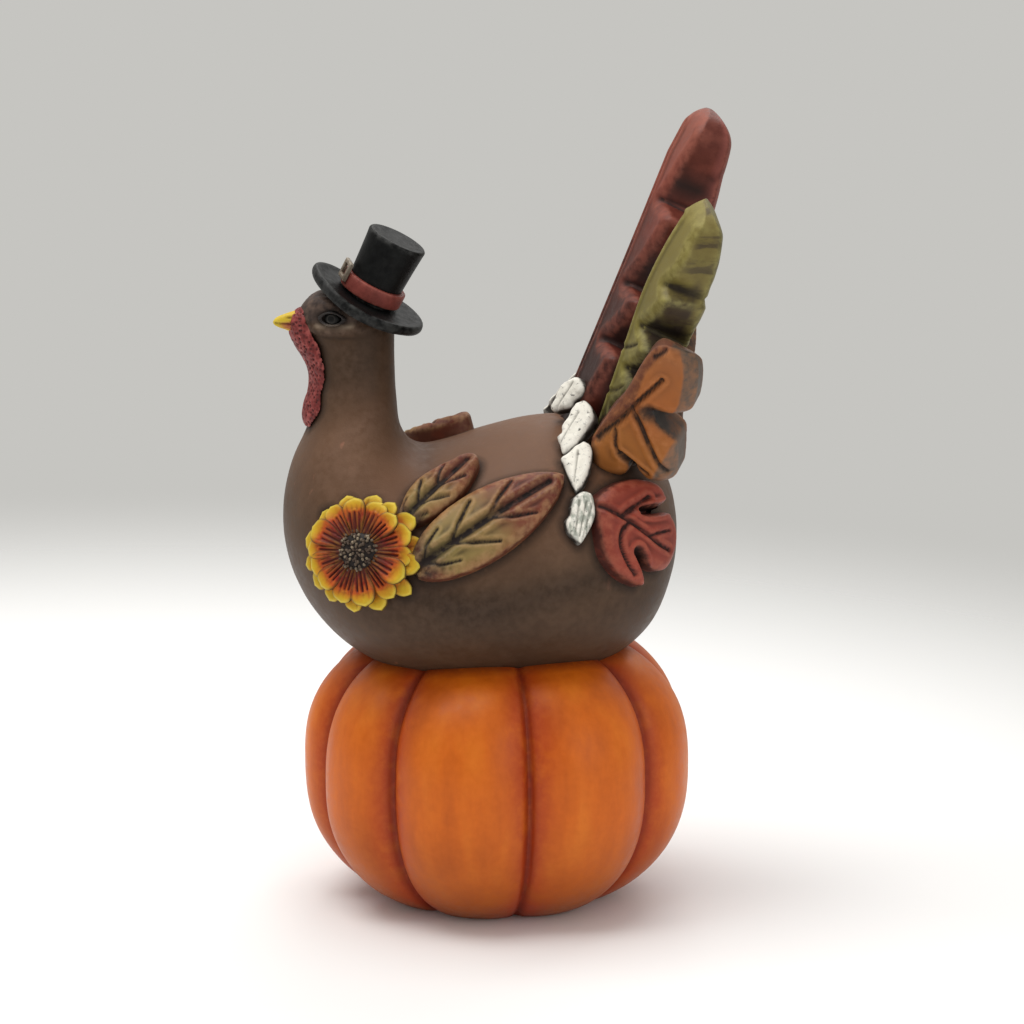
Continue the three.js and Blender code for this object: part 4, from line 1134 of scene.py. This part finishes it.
class FIGURE_OT_hat(bpy.types.Operator):
    """Adds the hat: brim, crown, band and buckle"""

    bl_idname = "figure.hat"
    bl_label = "Hat"

    def execute(self, context):
        sizes = context.scene.figure_hat
        self.spot = Matrix.Translation(Vector(HAT_SEAT) * MM) @ Matrix.Rotation(sizes.tilt, 4, "Y") @ \
            Matrix.Rotation(sizes.roll, 4, "X")
        paints = context.scene.figure_paint
        felt = self.felt(paints.hat)
        settle(self.brim(sizes), "hat_paint", felt, "hat_brim")
        settle(self.crown(sizes), "hat_paint", felt, "hat_crown")
        settle(self.band(sizes), "band_paint", self.ribbon(paints.band), "hat_band")
        settle(self.buckle(sizes), "buckle_paint", self.brass(), "hat_buckle")
        return {"FINISHED"}

    def wall(self, sizes, height):
        """Radius of the crown at a height over the brim."""
        return sizes.crown_foot + (sizes.crown_top - sizes.crown_foot) * (height / sizes.crown_height) ** 1.6

    def brim(self, sizes):
        radius, thick = sizes.brim_radius, sizes.brim_thickness
        profile = [(0.3 * radius, 0), (radius * 0.86, 0.0001), (radius * 0.95, 0.0002),
                   (radius * 0.99, thick * 0.3), (radius, thick * 0.55), (radius * 0.985, thick * 0.86),
                   (radius * 0.955, thick), (radius * 0.9, thick * 0.97), (radius * 0.8, thick * 0.86),
                   (radius * 0.3, thick * 0.9)]
        piece = lathe("hat_brim_felt", profile, 96)
        cast(piece, voxel=0.3, turns=3)
        points = points_of(piece)
        out = np.hypot(points[:, 0], points[:, 1]) / radius
        wave = np.cos(2 * np.arctan2(points[:, 1], points[:, 0]))
        points[:, 2] -= 0.35 * MM * out ** 2 * (wave < 0) * -wave
        points[:, 2] += 1.5 * MM * np.clip(-points[:, 0] / radius, 0, 1) ** 2
        put_points(piece, points)
        place(piece, self.spot)
        mark_relief(piece, turns=10, scale=0.18)
        return piece

    def crown(self, sizes):
        floor = sizes.brim_thickness * 0.8
        top = sizes.brim_thickness + 0.3 * MM + sizes.crown_height
        profile = [(self.wall(sizes, h * sizes.crown_height), floor + h * (top - floor)) for h in
                   (0, 0.2, 0.4, 0.6, 0.8, 0.92)]
        reach = self.wall(sizes, sizes.crown_height)
        profile += [(reach, top - 0.5 * MM), (reach * 0.97, top - 0.12 * MM), (reach * 0.9, top),
                    (reach * 0.82, top - 0.1 * MM), (reach * 0.4, top - 0.3 * MM)]
        piece = lathe("hat_crown_felt", profile, 80)
        cast(piece, voxel=0.28, turns=3)
        place(piece, self.spot)
        mark_relief(piece, turns=10, scale=0.18)
        return piece

    def band(self, sizes):
        low = sizes.brim_thickness + 0.4 * MM
        high = low + sizes.band_height
        foot = self.wall(sizes, 0) + 1.0 * MM
        head = self.wall(sizes, sizes.band_height) + 1.0 * MM
        profile = [(foot * 0.8, low), (foot, low), (foot + 0.12 * MM, low + 0.4 * MM),
                   (head + 0.12 * MM, high - 0.4 * MM), (head, high), (head * 0.8, high)]
        piece = lathe("hat_band_ribbon", profile, 80)
        cast(piece, voxel=0.25, turns=2)
        place(piece, self.spot)
        mark_relief(piece, turns=8, scale=0.15)
        return piece

    def buckle(self, sizes):
        half = sizes.buckle_size / 2
        bpy.ops.mesh.primitive_plane_add(size=sizes.buckle_size, location=(0, 0, 0))
        piece = bpy.context.object
        piece.name = "hat_buckle_frame"
        edit(piece)
        bpy.ops.mesh.inset(thickness=0.95 * MM)
        bpy.ops.mesh.delete(type="FACE")
        bpy.ops.mesh.select_all(action="SELECT")
        bpy.ops.mesh.extrude_region_move(TRANSFORM_OT_translate={"value": (0, 0, 0.9 * MM)})
        done()
        modify(piece, "BEVEL", width=0.22 * MM, segments=3, limit_method="ANGLE")
        cast(piece, voxel=0.12, turns=2)
        reach = self.wall(sizes, sizes.band_height) + 0.95 * MM
        high = sizes.brim_thickness + 0.3 * MM + half + sizes.buckle_lift
        turn = Matrix.Rotation(sizes.buckle_turn, 4, "Z")
        stand = Matrix.Translation((-reach, 0, high)) @ Matrix.Rotation(-math.pi / 2, 4, "Y")
        place(piece, self.spot @ turn @ stand)
        mark_relief(piece, turns=8, scale=0.12)
        return piece

    def felt(self, main):
        source = speckled(240, 5, (0.3, (8, 8, 9)), (0.55, main), (0.75, (21, 22, 22)))
        return painted("hat_paint", source, wash=(7, 7, 8), rub=(104, 104, 102), washing=0.8, rubbing=0.5,
                       mottle=0.3, gloss=0.36, grain=0.16, shine=0.1)

    def ribbon(self, main):
        source = speckled(380, 4, (0.3, (98, 42, 35)), (0.6, main))
        return painted("band_paint", source, wash=(58, 24, 20), rub=(184, 116, 100), washing=0.8,
                       rubbing=0.5, mottle=0.4, gloss=0.45)

    def brass(self):
        source = speckled(700, 4, (0.3, (82, 72, 60)), (0.65, (128, 114, 98)))
        return painted("buckle_paint", source, wash=(40, 32, 26), rub=(236, 226, 208), washing=0.9,
                       rubbing=0.7, mottle=0.3, gloss=0.35)


class FIGURE_OT_flowers(bpy.types.Operator):
    """Adds the sunflowers: two rings of petals and a disc of seeds on each side of the breast"""

    bl_idname = "figure.flowers"
    bl_label = "Sunflowers"

    def execute(self, context):
        sizes = context.scene.figure_flower
        centre, front = FLOWER_PLACE
        face = UP.rotation_difference(Vector(front).normalized()).to_matrix().to_4x4()
        self.spot = Matrix.Translation((Vector(centre) + UP * 0.5) * MM) @ face
        outer = self.ring("left_outer_petals", sizes.outer_radius, width=4.4, floor=0.5,
                          turn=180 / sizes.petals, count=sizes.petals, lift=0.3)
        inner = self.ring("left_inner_petals", sizes.inner_radius, width=4.9, floor=2.0,
                          turn=0, count=sizes.petals, lift=1.2)
        seeds = self.disc(sizes)
        gold = self.paint("outer_petal_paint", 0.04)
        rust = self.paint("inner_petal_paint", 0.0)
        for piece, slot, paint, node_name in (
            (outer, "outer_petal_paint", gold, "flower_outer_petals"),
            (inner, "inner_petal_paint", rust, "flower_inner_petals"),
            (seeds, "seed_paint", self.seed_paint(), "flower_seed_disc"),
        ):
            twin = other_side(piece, piece.name.replace("left", "right"))
            settle(piece, slot, paint, "left_" + node_name)
            settle(twin, slot, paint, "right_" + node_name)
        return {"FINISHED"}

    def ring(self, name, radius, width, floor, turn, count, lift):
        """One petal, copied round with small differences and joined."""
        inside = 3.2 * MM
        length = radius - inside
        half = width * MM / 2
        thick = 1.5
        outline = outline_of(PETAL_HALF, length, half, half)
        first = leaf_blank(name, outline, thick * MM, voxel=0.2)
        veins = both_sides(PETAL_VEINS, length, half, half)
        carve_leaf(first, outline, thick * MM, (0.8, 0.5, 0.3), veins)
        points = points_of(first)
        share = points[:, 0] / length
        side = points[:, 1] / half
        curl = 1.1 * side ** 2 * np.sqrt(np.clip(share, 0, 1))
        points[:, 2] += (thick + curl + lift * share ** 2 * 0.5) * MM
        put_points(first, points)
        copies = []
        for index in range(count):
            vary = 1.5 * math.sin(index * 5.3 + turn)
            away = Matrix.Rotation(math.radians(turn + 360 * index / count + 3.2 * vary), 4, "Z")
            size = Matrix.Diagonal((1 + 0.04 * vary, 1 + 0.12 * math.cos(index * 3.7), 1, 1))
            copy = bpy.data.objects.new(name, first.data.copy())
            bpy.context.scene.collection.objects.link(copy)
            tip = Matrix.Rotation(math.radians(3 + 6 * math.cos(index * 2.9)), 4, "Y")
            copy.matrix_world = away @ Matrix.Translation((inside, 0, floor * MM)) @ tip @ size
            copies.append(copy)
        bpy.data.objects.remove(first)
        piece = self.joined(name, copies)
        points = points_of(piece)
        away = np.hypot(points[:, 0], points[:, 1])
        bearing = np.arctan2(points[:, 1], points[:, 0])
        reach = 0.86 + 0.1 * np.sin(7 * bearing) * np.cos(11 * bearing)
        spoke = np.clip(np.cos(50 * bearing + 0.5 * np.sin(9 * bearing)), 0, 1) ** 1.3
        spoke *= np.clip((reach * radius - away) / (0.25 * radius), 0, 1)
        points[:, 2] -= away ** 2 / (95 * MM) + 0.22 * MM * spoke
        put_points(piece, points)
        mark(piece, "spoke", spoke)
        return place(piece, self.spot)

    def joined(self, name, copies):
        only(copies[0])
        for copy in copies:
            copy.select_set(True)
        bpy.ops.object.join()
        piece = bpy.context.object
        piece.name = name
        bpy.ops.object.transform_apply(location=True, rotation=True, scale=True)
        return piece

    def disc(self, sizes):
        """A low dome covered with seeds set in turning rows."""
        radius = sizes.disc_radius
        floor = 2.3 * MM
        bpy.ops.mesh.primitive_uv_sphere_add(segments=48, ring_count=24, radius=radius, location=(0, 0, 0))
        dome = bpy.context.object
        dome.data.transform(Matrix.Translation((0, 0, floor)) @ Matrix.Diagonal((0.96, 0.96, 0.42, 1)))
        mark(dome, "seed", np.zeros(len(dome.data.vertices)))
        copies = [dome]
        for index in range(sizes.seeds):
            share = math.sqrt((index + 0.5) / sizes.seeds) * (1 + 0.07 * math.sin(index * 7.3))
            turn = index * 2.39996 + 0.3 * math.sin(index * 12.9)
            bpy.ops.mesh.primitive_ico_sphere_add(subdivisions=2, radius=0.4 * MM, location=(0, 0, 0))
            seed = bpy.context.object
            mark(seed, "seed", np.full(len(seed.data.vertices), 0.35 + 0.65 * ((index * 7919) % 13) / 12))
            reach = radius * share
            high = floor + radius * 0.42 * math.sqrt(max(1 - share * share * 0.92, 0))
            seed.matrix_world = Matrix.Translation((reach * math.cos(turn), reach * math.sin(turn),
                                                    high)) @ \
                Matrix.Rotation(turn, 4, "Z") @ Matrix.Diagonal((0.95, 0.75, 1.1, 1))
            copies.append(seed)
        piece = self.joined("left_seed_disc", copies)
        place(piece, self.spot)
        return piece

    def paint(self, name, shift):
        def source(tree):
            drift = times(tree, clouds(tree, 380, 4), 0.34, False)
            along = plus(tree, value_of(tree, "along"), plus(tree, drift, shift - 0.17, False))
            colour = ramp(tree, along, (0.2, (104, 24, 17)), (0.5, (150, 40, 20)), (0.66, (182, 76, 22)),
                          (0.78, (192, 132, 26)), (0.92, (198, 164, 36)))
            edge = times(tree, spread(tree, value_of(tree, "rim"), 0.72, 0.9),
                         spread(tree, value_of(tree, "along"), 0.7, 0.95))
            colour = dab(tree, colour, edge, 0.8, (220, 200, 74))
            side = times(tree, spread(tree, value_of(tree, "rim"), 0.74, 0.96),
                         spread(tree, value_of(tree, "along"), 0.96, 0.78))
            colour = dab(tree, colour, side, 0.75, (84, 34, 14))
            colour = dab(tree, colour, value_of(tree, "spoke"), 0.8, (54, 14, 14))
            return dab(tree, colour, value_of(tree, "wall"), 0.9, (62, 34, 12))

        return painted(name, source, wash=(58, 20, 16), rub=(214, 166, 52), washing=0.9, rubbing=0.18,
                       mottle=0.4, gloss=0.42, wash_from="vein")

    def seed_paint(self):
        def source(tree):
            return ramp(tree, value_of(tree, "seed"), (0.0, (28, 20, 17)), (0.4, (68, 54, 45)),
                        (0.8, (94, 80, 66)), (1.0, (140, 126, 106)))

        return painted("seed_paint", source, wash=(26, 20, 16), rub=(150, 138, 116), washing=0.5,
                       rubbing=0.3, mottle=0.4, gloss=0.45)


class FIGURE_OT_wing_leaves(bpy.types.Operator):
    """Adds the veined leaves laid on the flanks as wings"""

    bl_idname = "figure.wing_leaves"
    bl_label = "Wing leaves"

    def execute(self, context):
        paint = leaf_paint(
            "wing_leaf_paint",
            ((0.0, (34, 25, 19)), (0.1, (48, 38, 26)), (0.22, (132, 114, 64)), (0.48, (132, 105, 62)),
             (0.64, (110, 57, 39)), (0.9, (94, 43, 33))),
            rim=(138, 62, 38), wall=(86, 44, 30), dark=(40, 26, 20), rimming=0.65, wash=(27, 16, 13),
            rub=(176, 140, 98), washing=1.0, rubbing=0.42, mottle=0.6)
        for name, half, sides, start, end, front, width, proud in (
            ("upper", UPPER_WING_HALF, "left", (-22.0, -26.6, 85.4), (-5.7, -14.7, 97.6),
             (-0.181, -0.593, 0.784), 10.2, 2.8),
            ("upper", UPPER_WING_HALF, "right", (-20.0, -24.4, 88.3), (-5.2, -5.9, 100.4),
             (-0.236, -0.437, 0.868), 10.2, 3.9),
            ("lower", WING_HALF, "left right", (-19.6, -31.6, 77.4), (11.9, -22.8, 95.1),
             (-0.076, -0.841, 0.536), 15.2, 3.0),
        ):
            length = math.dist(start, end) * MM
            outline = outline_of(half, length, width * MM / 2, width * MM / 2)
            veins = both_sides(WING_VEINS, length, width * MM / 2, width * MM / 2)
            piece = on_skin(f"left_wing_{name}", outline, veins, start, end, front, proud,
                            bevel=(1.7, 1.0, 0.3), voxel=0.32)
            if "right" in sides:
                twin = other_side(piece, f"right_wing_{name}")
                settle(twin, "wing_leaf_paint", paint, f"right_wing_leaf_{name}")
            if "left" in sides:
                settle(piece, "wing_leaf_paint", paint, f"left_wing_leaf_{name}")
            else:
                bpy.data.objects.remove(piece)
        return {"FINISHED"}


def on_skin(name, outline, veins, start, end, front, proud, bevel, voxel):
    """A leaf laid on the body's skin from its stalk to its tip; places in millimetres."""
    start, end = Vector(start) * MM, Vector(end) * MM
    along, across, out = axes(end - start, front)
    thick = (proud + 1.2) * MM
    piece = leaf_blank(name, outline, thick, voxel)
    carve_leaf(piece, outline, thick, bevel, veins)
    skin = skin_under(start, along, across, out, (end - start).length, np.ptp(outline[:, 1]))
    return lay(piece, start, along, across, out, lambda u, w, face: skin(u, w) + proud * MM)


class FIGURE_OT_tail_leaves(bpy.types.Operator):
    """Adds the fan of thick lobed leaves"""

    bl_idname = "figure.tail_leaves"
    bl_label = "Tail leaves"

    def execute(self, context):
        up = (math.sin(FAN_TILT), 0, math.cos(FAN_TILT))
        front = (-math.cos(FAN_TILT), 0, math.sin(FAN_TILT))
        length, near = 77 * MM, 18 * MM
        piece = self.leaf(
            "tail_centre_leaf", outline_of(RED_HALF, length, near, near),
            both_sides(RED_VEINS, length, near, near), start=(11.5, 0, 99.2), along=up, front=front,
            thickness=13.5, bevel=(2.0, 1.5, 1.4), voxel=0.4, taper=(0.42, 6),
            lift=lambda u, w, face: -0.16 * (np.sqrt(w ** 2 + MM ** 2) - MM) * face
            - 1.2 * MM * np.clip(u / length - 0.85, 0, 1) / 0.15,
            widen=filled_out(RED_HALF, length, 0.75))
        settle(piece, "centre_leaf_paint", self.red(), "tail_leaf_centre")
        length, near, far = 59 * MM, 15 * MM, 6 * MM
        piece = self.leaf(
            "left_tail_upper", outline_of(GREEN_HALF, length, near, far),
            both_sides(GREEN_VEINS, length, near, far), start=(18.9, -10.0, 100.9),
            along=(.246, -.324, .913), front=(-.98, -.12, .15), thickness=11.6, bevel=(1.8, 1.3, 1.4),
            voxel=0.38, taper=(0.55, 6),
            lift=lambda u, w, face: (-0.06 * np.maximum(-w, 0) - 0.9 * np.maximum(w, 0)) * face
            - 4.5 * MM * (np.clip(u / length - 0.55, 0, 1) / 0.45) ** 2,
            widen=filled_out(GREEN_HALF, length, 0.75))
        self.pair(piece, "upper", self.green(), FAN_TURN)

        def band(u):
            return np.interp(u, *np.array(ORANGE_BAND).T * MM)

        def flank(u):
            return np.interp(u, *np.array(ORANGE_FLANK).T * MM)

        def from_gap_shade(u, w):
            return distance_to(np.column_stack([u, w]), np.array(ORANGE_GAP_SHADE) * MM)

        def bent(u, w, face):
            bow = -1.6 * MM * (w / (18 * MM)) ** 2 - 0.5 * np.maximum(w - band(u), 0) * face
            return bow - 0.55 * np.maximum(flank(u) - w, 0) * face

        piece = self.leaf(
            "left_tail_middle", loop_through(ORANGE_OUTLINE), as_drawn(ORANGE_VEINS),
            start=(19.0, -22.0, 103.7), along=(.357, -.52, .777), front=(-.393, -.834, -.377),
            thickness=10.5, bevel=(2.2, 1.3, 1.2), voxel=0.36, taper=(0.5, 3),
            lift=bent,
            marks={
                "band": lambda u, w: (w - band(u)) / (0.5 * MM),
                "flank": lambda u, w: (flank(u) - w) / (0.4 * MM),
                "gap": lambda u, w: 2.1 - from_gap_shade(u, w) / (1.4 * MM),
            })
        self.pair(piece, "middle", self.orange(), FAN_TURN)
        piece = on_skin("left_tail_lower", loop_through(MAROON_OUTLINE), as_drawn(MAROON_VEINS),
                        start=(17.4, -26.3, 89.3), end=(32.8, -19.2, 76.3), front=(0.6, -0.75, 0.27),
                        proud=3.6, bevel=(1.6, 1.1, 0.3), voxel=0.34)
        self.pair(piece, "lower", self.maroon())
        return {"FINISHED"}

    def pair(self, piece, name, paint, turn=0.0):
        """Settles a left leaf and its mirror image, which may be turned back round the root of the fan."""
        twin = other_side(piece, piece.name.replace("left", "right"))
        if turn:
            root = Matrix.Translation(Vector(FAN_ROOT) * MM)
            place(twin, root @ Matrix.Rotation(-turn, 4, "Z") @ root.inverted())
        settle(piece, f"{name}_leaf_paint", paint, f"left_tail_leaf_{name}")
        settle(twin, f"{name}_leaf_paint", paint, f"right_tail_leaf_{name}")

    def leaf(self, name, outline, veins, start, along, front, thickness, bevel, voxel, taper, lift,
             widen=None, marks=None):
        """A thick leaf of the fan, standing free; sizes and places in millimetres."""
        along, across, out = axes(along, front)
        piece = leaf_blank(name, outline, thickness * MM, voxel)
        carve_leaf(piece, outline, thickness * MM, bevel, veins, taper, widen)
        u, w, _ = points_of(piece).T
        for mask, rule in (marks or {}).items():
            mark(piece, mask, rule(u, w))
        return lay(piece, Vector(start) * MM, along, across, out, lift)

    def red(self):
        # The darker stops toward the stalk are partly the leaf's own colour and partly painted shadow of the
        # upper leaves.
        return leaf_paint(
            "centre_leaf_paint", ((0.0, (36, 19, 16)), (0.35, (60, 29, 23)), (0.6, (88, 41, 31)),
                                  (0.76, (122, 58, 45)), (1.0, (134, 76, 62))),
            rim=(124, 60, 48), wall=(92, 40, 29), dark=(34, 18, 15), back=(98, 44, 36), strip=(126, 66, 58),
            rimming=0.5, wash=(36, 16, 13), rub=(168, 98, 80), washing=0.95, rubbing=0.35, mottle=0.35)

    def green(self):
        return leaf_paint(
            "upper_leaf_paint", ((0.0, (100, 92, 36)), (0.35, (112, 102, 44)), (0.7, (116, 104, 52)),
                                 (1.0, (122, 110, 56))),
            rim=(136, 126, 62), wall=(114, 101, 54), low_wall=(64, 52, 42), dark=(26, 20, 17),
            back=(92, 84, 48), strip=(124, 112, 62), strokes=(72, 60, 44), rimming=0.6, wash=(38, 30, 20),
            rub=(172, 164, 100), washing=0.95, rubbing=0.35, mottle=0.4)

    def orange(self):
        return leaf_paint(
            "middle_leaf_paint",
            ((0.0, (168, 104, 50)), (0.3, (162, 100, 44)), (0.5, (160, 90, 38)), (0.8, (160, 95, 46)),
             (1.0, (150, 92, 52))),
            rim=(134, 80, 46), wall=(72, 62, 54), dark=(18, 14, 12), back=(58, 42, 34), strip=(104, 74, 54),
            # The gap patch is painted shadow in the gap between the lobes.
            patches=(("band", (96, 52, 36)), ("flank", (90, 77, 66)), ("gap", (10, 8, 7))),
            rimming=0.4, wash=(36, 26, 21), rub=(186, 122, 74), washing=0.95, rubbing=0.35, mottle=0.4)

    def maroon(self):
        return leaf_paint(
            "lower_leaf_paint", ((0.0, (118, 48, 36)), (0.5, (150, 63, 47)), (1.0, (124, 53, 42))),
            rim=(132, 60, 44), wall=(64, 30, 25), dark=(26, 15, 13), rimming=0.45, wash=(32, 15, 13),
            rub=(172, 98, 74), washing=0.95, rubbing=0.4, mottle=0.4)


class FIGURE_OT_ruff(bpy.types.Operator):
    """Adds the white feathers round the root of the fan"""

    bl_idname = "figure.ruff"
    bl_label = "Ruff feathers"

    def execute(self, context):
        def source(tree):
            specks = clouds(tree, 1100, 3)
            colour = ramp(tree, specks, (0.3, (84, 80, 70)), (0.36, (206, 203, 194)),
                          (0.44, (238, 234, 222)))
            grey = spread(tree, clouds(tree, 420, 4, (2, 2, 0.4)), 0.44, 0.56)
            grey = times(tree, value_of(tree, "streak"), grey)
            colour = dab(tree, colour, grey, 0.75, (132, 142, 128))
            return blend(tree, value_of(tree, "wall"), colour, tone(44, 38, 33))

        paint = painted("ruff_paint", source, wash=(70, 66, 58), rub=(246, 243, 234), washing=0.65,
                        rubbing=0.4, mottle=0.12, gloss=0.45, grain=0.3, wash_from="vein")
        for index, (drawn, high, low, front) in enumerate(RUFF_FEATHERS, 1):
            start, end = Vector(high) * MM, Vector(low) * MM
            along, across, out = axes(end - start, front)
            outline = loop_through(drawn)
            middle = outline.mean(axis=0) / MM
            strokes = (-1.3, 0.2, 1.5) if index == 4 else (-0.4,)
            veins = [(((middle[0] - 3.5, middle[1] + side), (middle[0] + 4, middle[1] + 0.6 * side)),
                      0.22, 0.22) for side in strokes]
            thick = 3.4 * MM
            piece = leaf_blank(f"left_ruff_{index}", outline, thick, 0.26)
            carve_leaf(piece, outline, thick, (1.0, 0.7, 0.5), as_drawn(veins))
            rough = np.array([noise.noise(Vector(p) * 850) for p in points_of(piece)]) * 0.16 * MM
            put_points(piece, points_of(piece) + np.outer(rough, (0, 0, 1)))
            mark(piece, "streak", np.full(len(rough), float(index == 4)))
            lay(piece, start, along, across, out,
                lift=lambda u, w, face: 1.6 * MM - 0.5 * MM * (w / (4 * MM)) ** 2)
            twin = other_side(piece, f"right_ruff_{index}")
            if index == 1:
                place(twin, Matrix.Translation(Vector((-out.x, out.y, -out.z)) * 2.4 * MM))
            settle(piece, "ruff_paint", paint, f"left_ruff_feather_{index}")
            settle(twin, "ruff_paint", paint, f"right_ruff_feather_{index}")
        return {"FINISHED"}


class FIGURE_OT_contact_shade(bpy.types.Operator):
    """Finds where the painted shade lies: round whatever is glued to a piece"""

    bl_idname = "figure.wash"
    bl_label = "Wash round the pieces"

    def execute(self, context):
        made = [piece for piece in context.scene.objects if piece.type == "MESH" and "figure_made" in piece]
        # Piece, the pieces whose painted shade falls on it, and its reach in millimetres.
        for start, others, reach in (
            ("turkey_skin", ("left_", "right_", "wattle", "hat_brim"), 2.6),
            ("pumpkin_shell", ("turkey_skin",), 3.6),
            ("left_wing", ("left_outer_petals",), 3.4),
            ("left_tail_middle", ("left_ruff", "left_tail_lower"), 2.2),
            ("left_tail_upper", ("left_tail_middle", "left_ruff"), 3.0),
            ("tail_centre_leaf", ("left_tail_upper",), 2.4),
            ("left_tail_lower", ("left_ruff",), 1.6),
        ):
            for piece in [piece for piece in made if piece.name.startswith(start)]:
                glued = [other for other in made if other.name.startswith(others) and other != piece]
                mark_contact_shade(piece, glued, reach)
        return {"FINISHED"}


class FIGURE_OT_stage(bpy.types.Operator):
    """Adds the floor, the lamps, the sky and the camera"""

    bl_idname = "figure.stage"
    bl_label = "Stage"

    def execute(self, context):
        sizes = context.scene.figure_stage
        self.floor()
        self.sky(context.scene, sizes)
        self.lamps(sizes)
        self.camera(context.scene, sizes)
        context.scene.view_settings.view_transform = "Standard"
        return {"FINISHED"}

    def floor(self):
        bpy.ops.mesh.primitive_circle_add(vertices=96, radius=1.2, fill_type="NGON", location=(0, 0, 0))
        floor = bpy.context.object
        floor.name = "floor"
        made = bpy.data.materials.new("floor_white")
        made.use_nodes = True
        tree = made.node_tree
        shader = tree.nodes["Principled BSDF"]
        shader.inputs["Base Color"].default_value = (0.93, 0.93, 0.925, 1)
        shader.inputs["Roughness"].default_value = 0.6
        shader.inputs["Specular IOR Level"].default_value = 0.2
        away = node(tree, "VectorMath", {0: node(tree, "TexCoord").outputs["Object"], 1: (-0.1, 0.0, 0.0)},
                    operation="DISTANCE").outputs["Value"]
        fade = node(tree, "MapRange", {"Value": away, "From Min": 0.44, "From Max": 0.17},
                    interpolation_type="SMOOTHSTEP")
        tree.links.new(fade.outputs[0], shader.inputs["Alpha"])
        floor.data.materials.append(made)

    def sky(self, scene, sizes):
        world = bpy.data.worlds.new("Studio")
        scene.world = world
        world.use_nodes = True
        tree = world.node_tree
        tree.nodes.clear()
        light = node(tree, "Background", {"Color": (1.0, 0.99, 0.975, 1), "Strength": sizes.sky})
        seen = node(tree, "Background", {"Color": tone(198, 197, 193), "Strength": 1.0})
        path = node(tree, "LightPath").outputs
        shown = math_of(tree, "MAXIMUM", path["Is Camera Ray"], path["Is Glossy Ray"])
        shown = math_of(tree, "MAXIMUM", shown, path["Is Transmission Ray"])
        mixed = node(tree, "MixShader", {0: shown, 1: light.outputs[0], 2: seen.outputs[0]})
        node(tree, "OutputWorld", {"Surface": mixed.outputs[0]})

    def lamps(self, sizes):
        for name, spot, aim, size, power, colour in (
            ("key", (-0.28, 0.02, 1.08), (0, 0, 0.07), 0.8, sizes.key, (1.0, 0.985, 0.96)),
            ("fill", (0.65, -0.8, 0.35), (0, 0, 0.08), 0.7, sizes.key * 0.2, (1.0, 0.99, 0.98)),
            ("rim", (0.3, 0.7, 0.8), (0, 0, 0.09), 0.7, sizes.key * 0.35, (1.0, 0.99, 0.98)),
        ):
            lamp = bpy.data.lights.new(name, "AREA")
            lamp.energy = power
            lamp.size = size
            lamp.color = colour
            holder = bpy.data.objects.new(name, lamp)
            holder.location = spot
            holder.rotation_euler = (Vector(aim) - Vector(spot)).to_track_quat("-Z", "Y").to_euler()
            bpy.context.scene.collection.objects.link(holder)

    def camera(self, scene, sizes):
        turn, rise = sizes.azimuth, sizes.elevation
        back = Vector((math.sin(turn) * math.cos(rise), -math.cos(turn) * math.cos(rise), math.sin(rise)))
        lens = bpy.data.cameras.new("camera")
        lens.lens = sizes.lens
        lens.sensor_width = 36
        holder = bpy.data.objects.new("camera", lens)
        holder.location = Vector(CAMERA_TARGET) * MM + back * sizes.distance
        holder.rotation_euler = back.to_track_quat("Z", "Y").to_euler()
        lens.clip_start = 0.05
        lens.clip_end = 20
        scene.collection.objects.link(holder)
        scene.camera = holder


class FIGURE_PT_panel(bpy.types.Panel):
    """Sidebar with the sizes and one button for each piece"""

    bl_idname = "FIGURE_PT_panel"
    bl_label = "Turkey figure"
    bl_space_type = "VIEW_3D"
    bl_region_type = "UI"
    bl_category = "Turkey"

    def draw(self, context):
        for holder in SETTINGS:
            group = getattr(context.scene, holder)
            box = self.layout.box()
            for key in type(group).__annotations__:
                box.prop(group, key)
        for operator in OPERATORS:
            self.layout.operator(operator.bl_idname)


SETTINGS = {
    "figure_pumpkin": PumpkinSettings,
    "figure_hat": HatSettings,
    "figure_flower": FlowerSettings,
    "figure_paint": PaintSettings,
    "figure_stage": StageSettings,
}
OPERATORS = (
    FIGURE_OT_pumpkin, FIGURE_OT_body, FIGURE_OT_eyes, FIGURE_OT_beak, FIGURE_OT_wattle, FIGURE_OT_hat,
    FIGURE_OT_flowers, FIGURE_OT_wing_leaves, FIGURE_OT_tail_leaves, FIGURE_OT_ruff, FIGURE_OT_contact_shade,
    FIGURE_OT_stage,
)


def register():
    for kind in (*SETTINGS.values(), *OPERATORS, FIGURE_PT_panel):
        bpy.utils.register_class(kind)
    for holder, group in SETTINGS.items():
        setattr(bpy.types.Scene, holder, bpy.props.PointerProperty(type=group))


def unregister():
    for holder in SETTINGS:
        delattr(bpy.types.Scene, holder)
    for kind in (FIGURE_PT_panel, *reversed(OPERATORS), *SETTINGS.values()):
        bpy.utils.unregister_class(kind)


def main():
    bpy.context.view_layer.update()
    register()
    bpy.ops.object.select_all(action="DESELECT")
    bpy.ops.figure.pumpkin()
    bpy.ops.figure.body()
    bpy.ops.figure.eyes()
    bpy.ops.figure.beak()
    bpy.ops.figure.wattle()
    bpy.ops.figure.hat()
    bpy.ops.figure.flowers()
    bpy.ops.figure.wing_leaves()
    bpy.ops.figure.tail_leaves()
    bpy.ops.figure.ruff()
    # Painted shade round the glued pieces.
    bpy.ops.figure.wash()
    bpy.ops.figure.stage()
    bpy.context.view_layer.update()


if __name__ == "__main__":
    main()
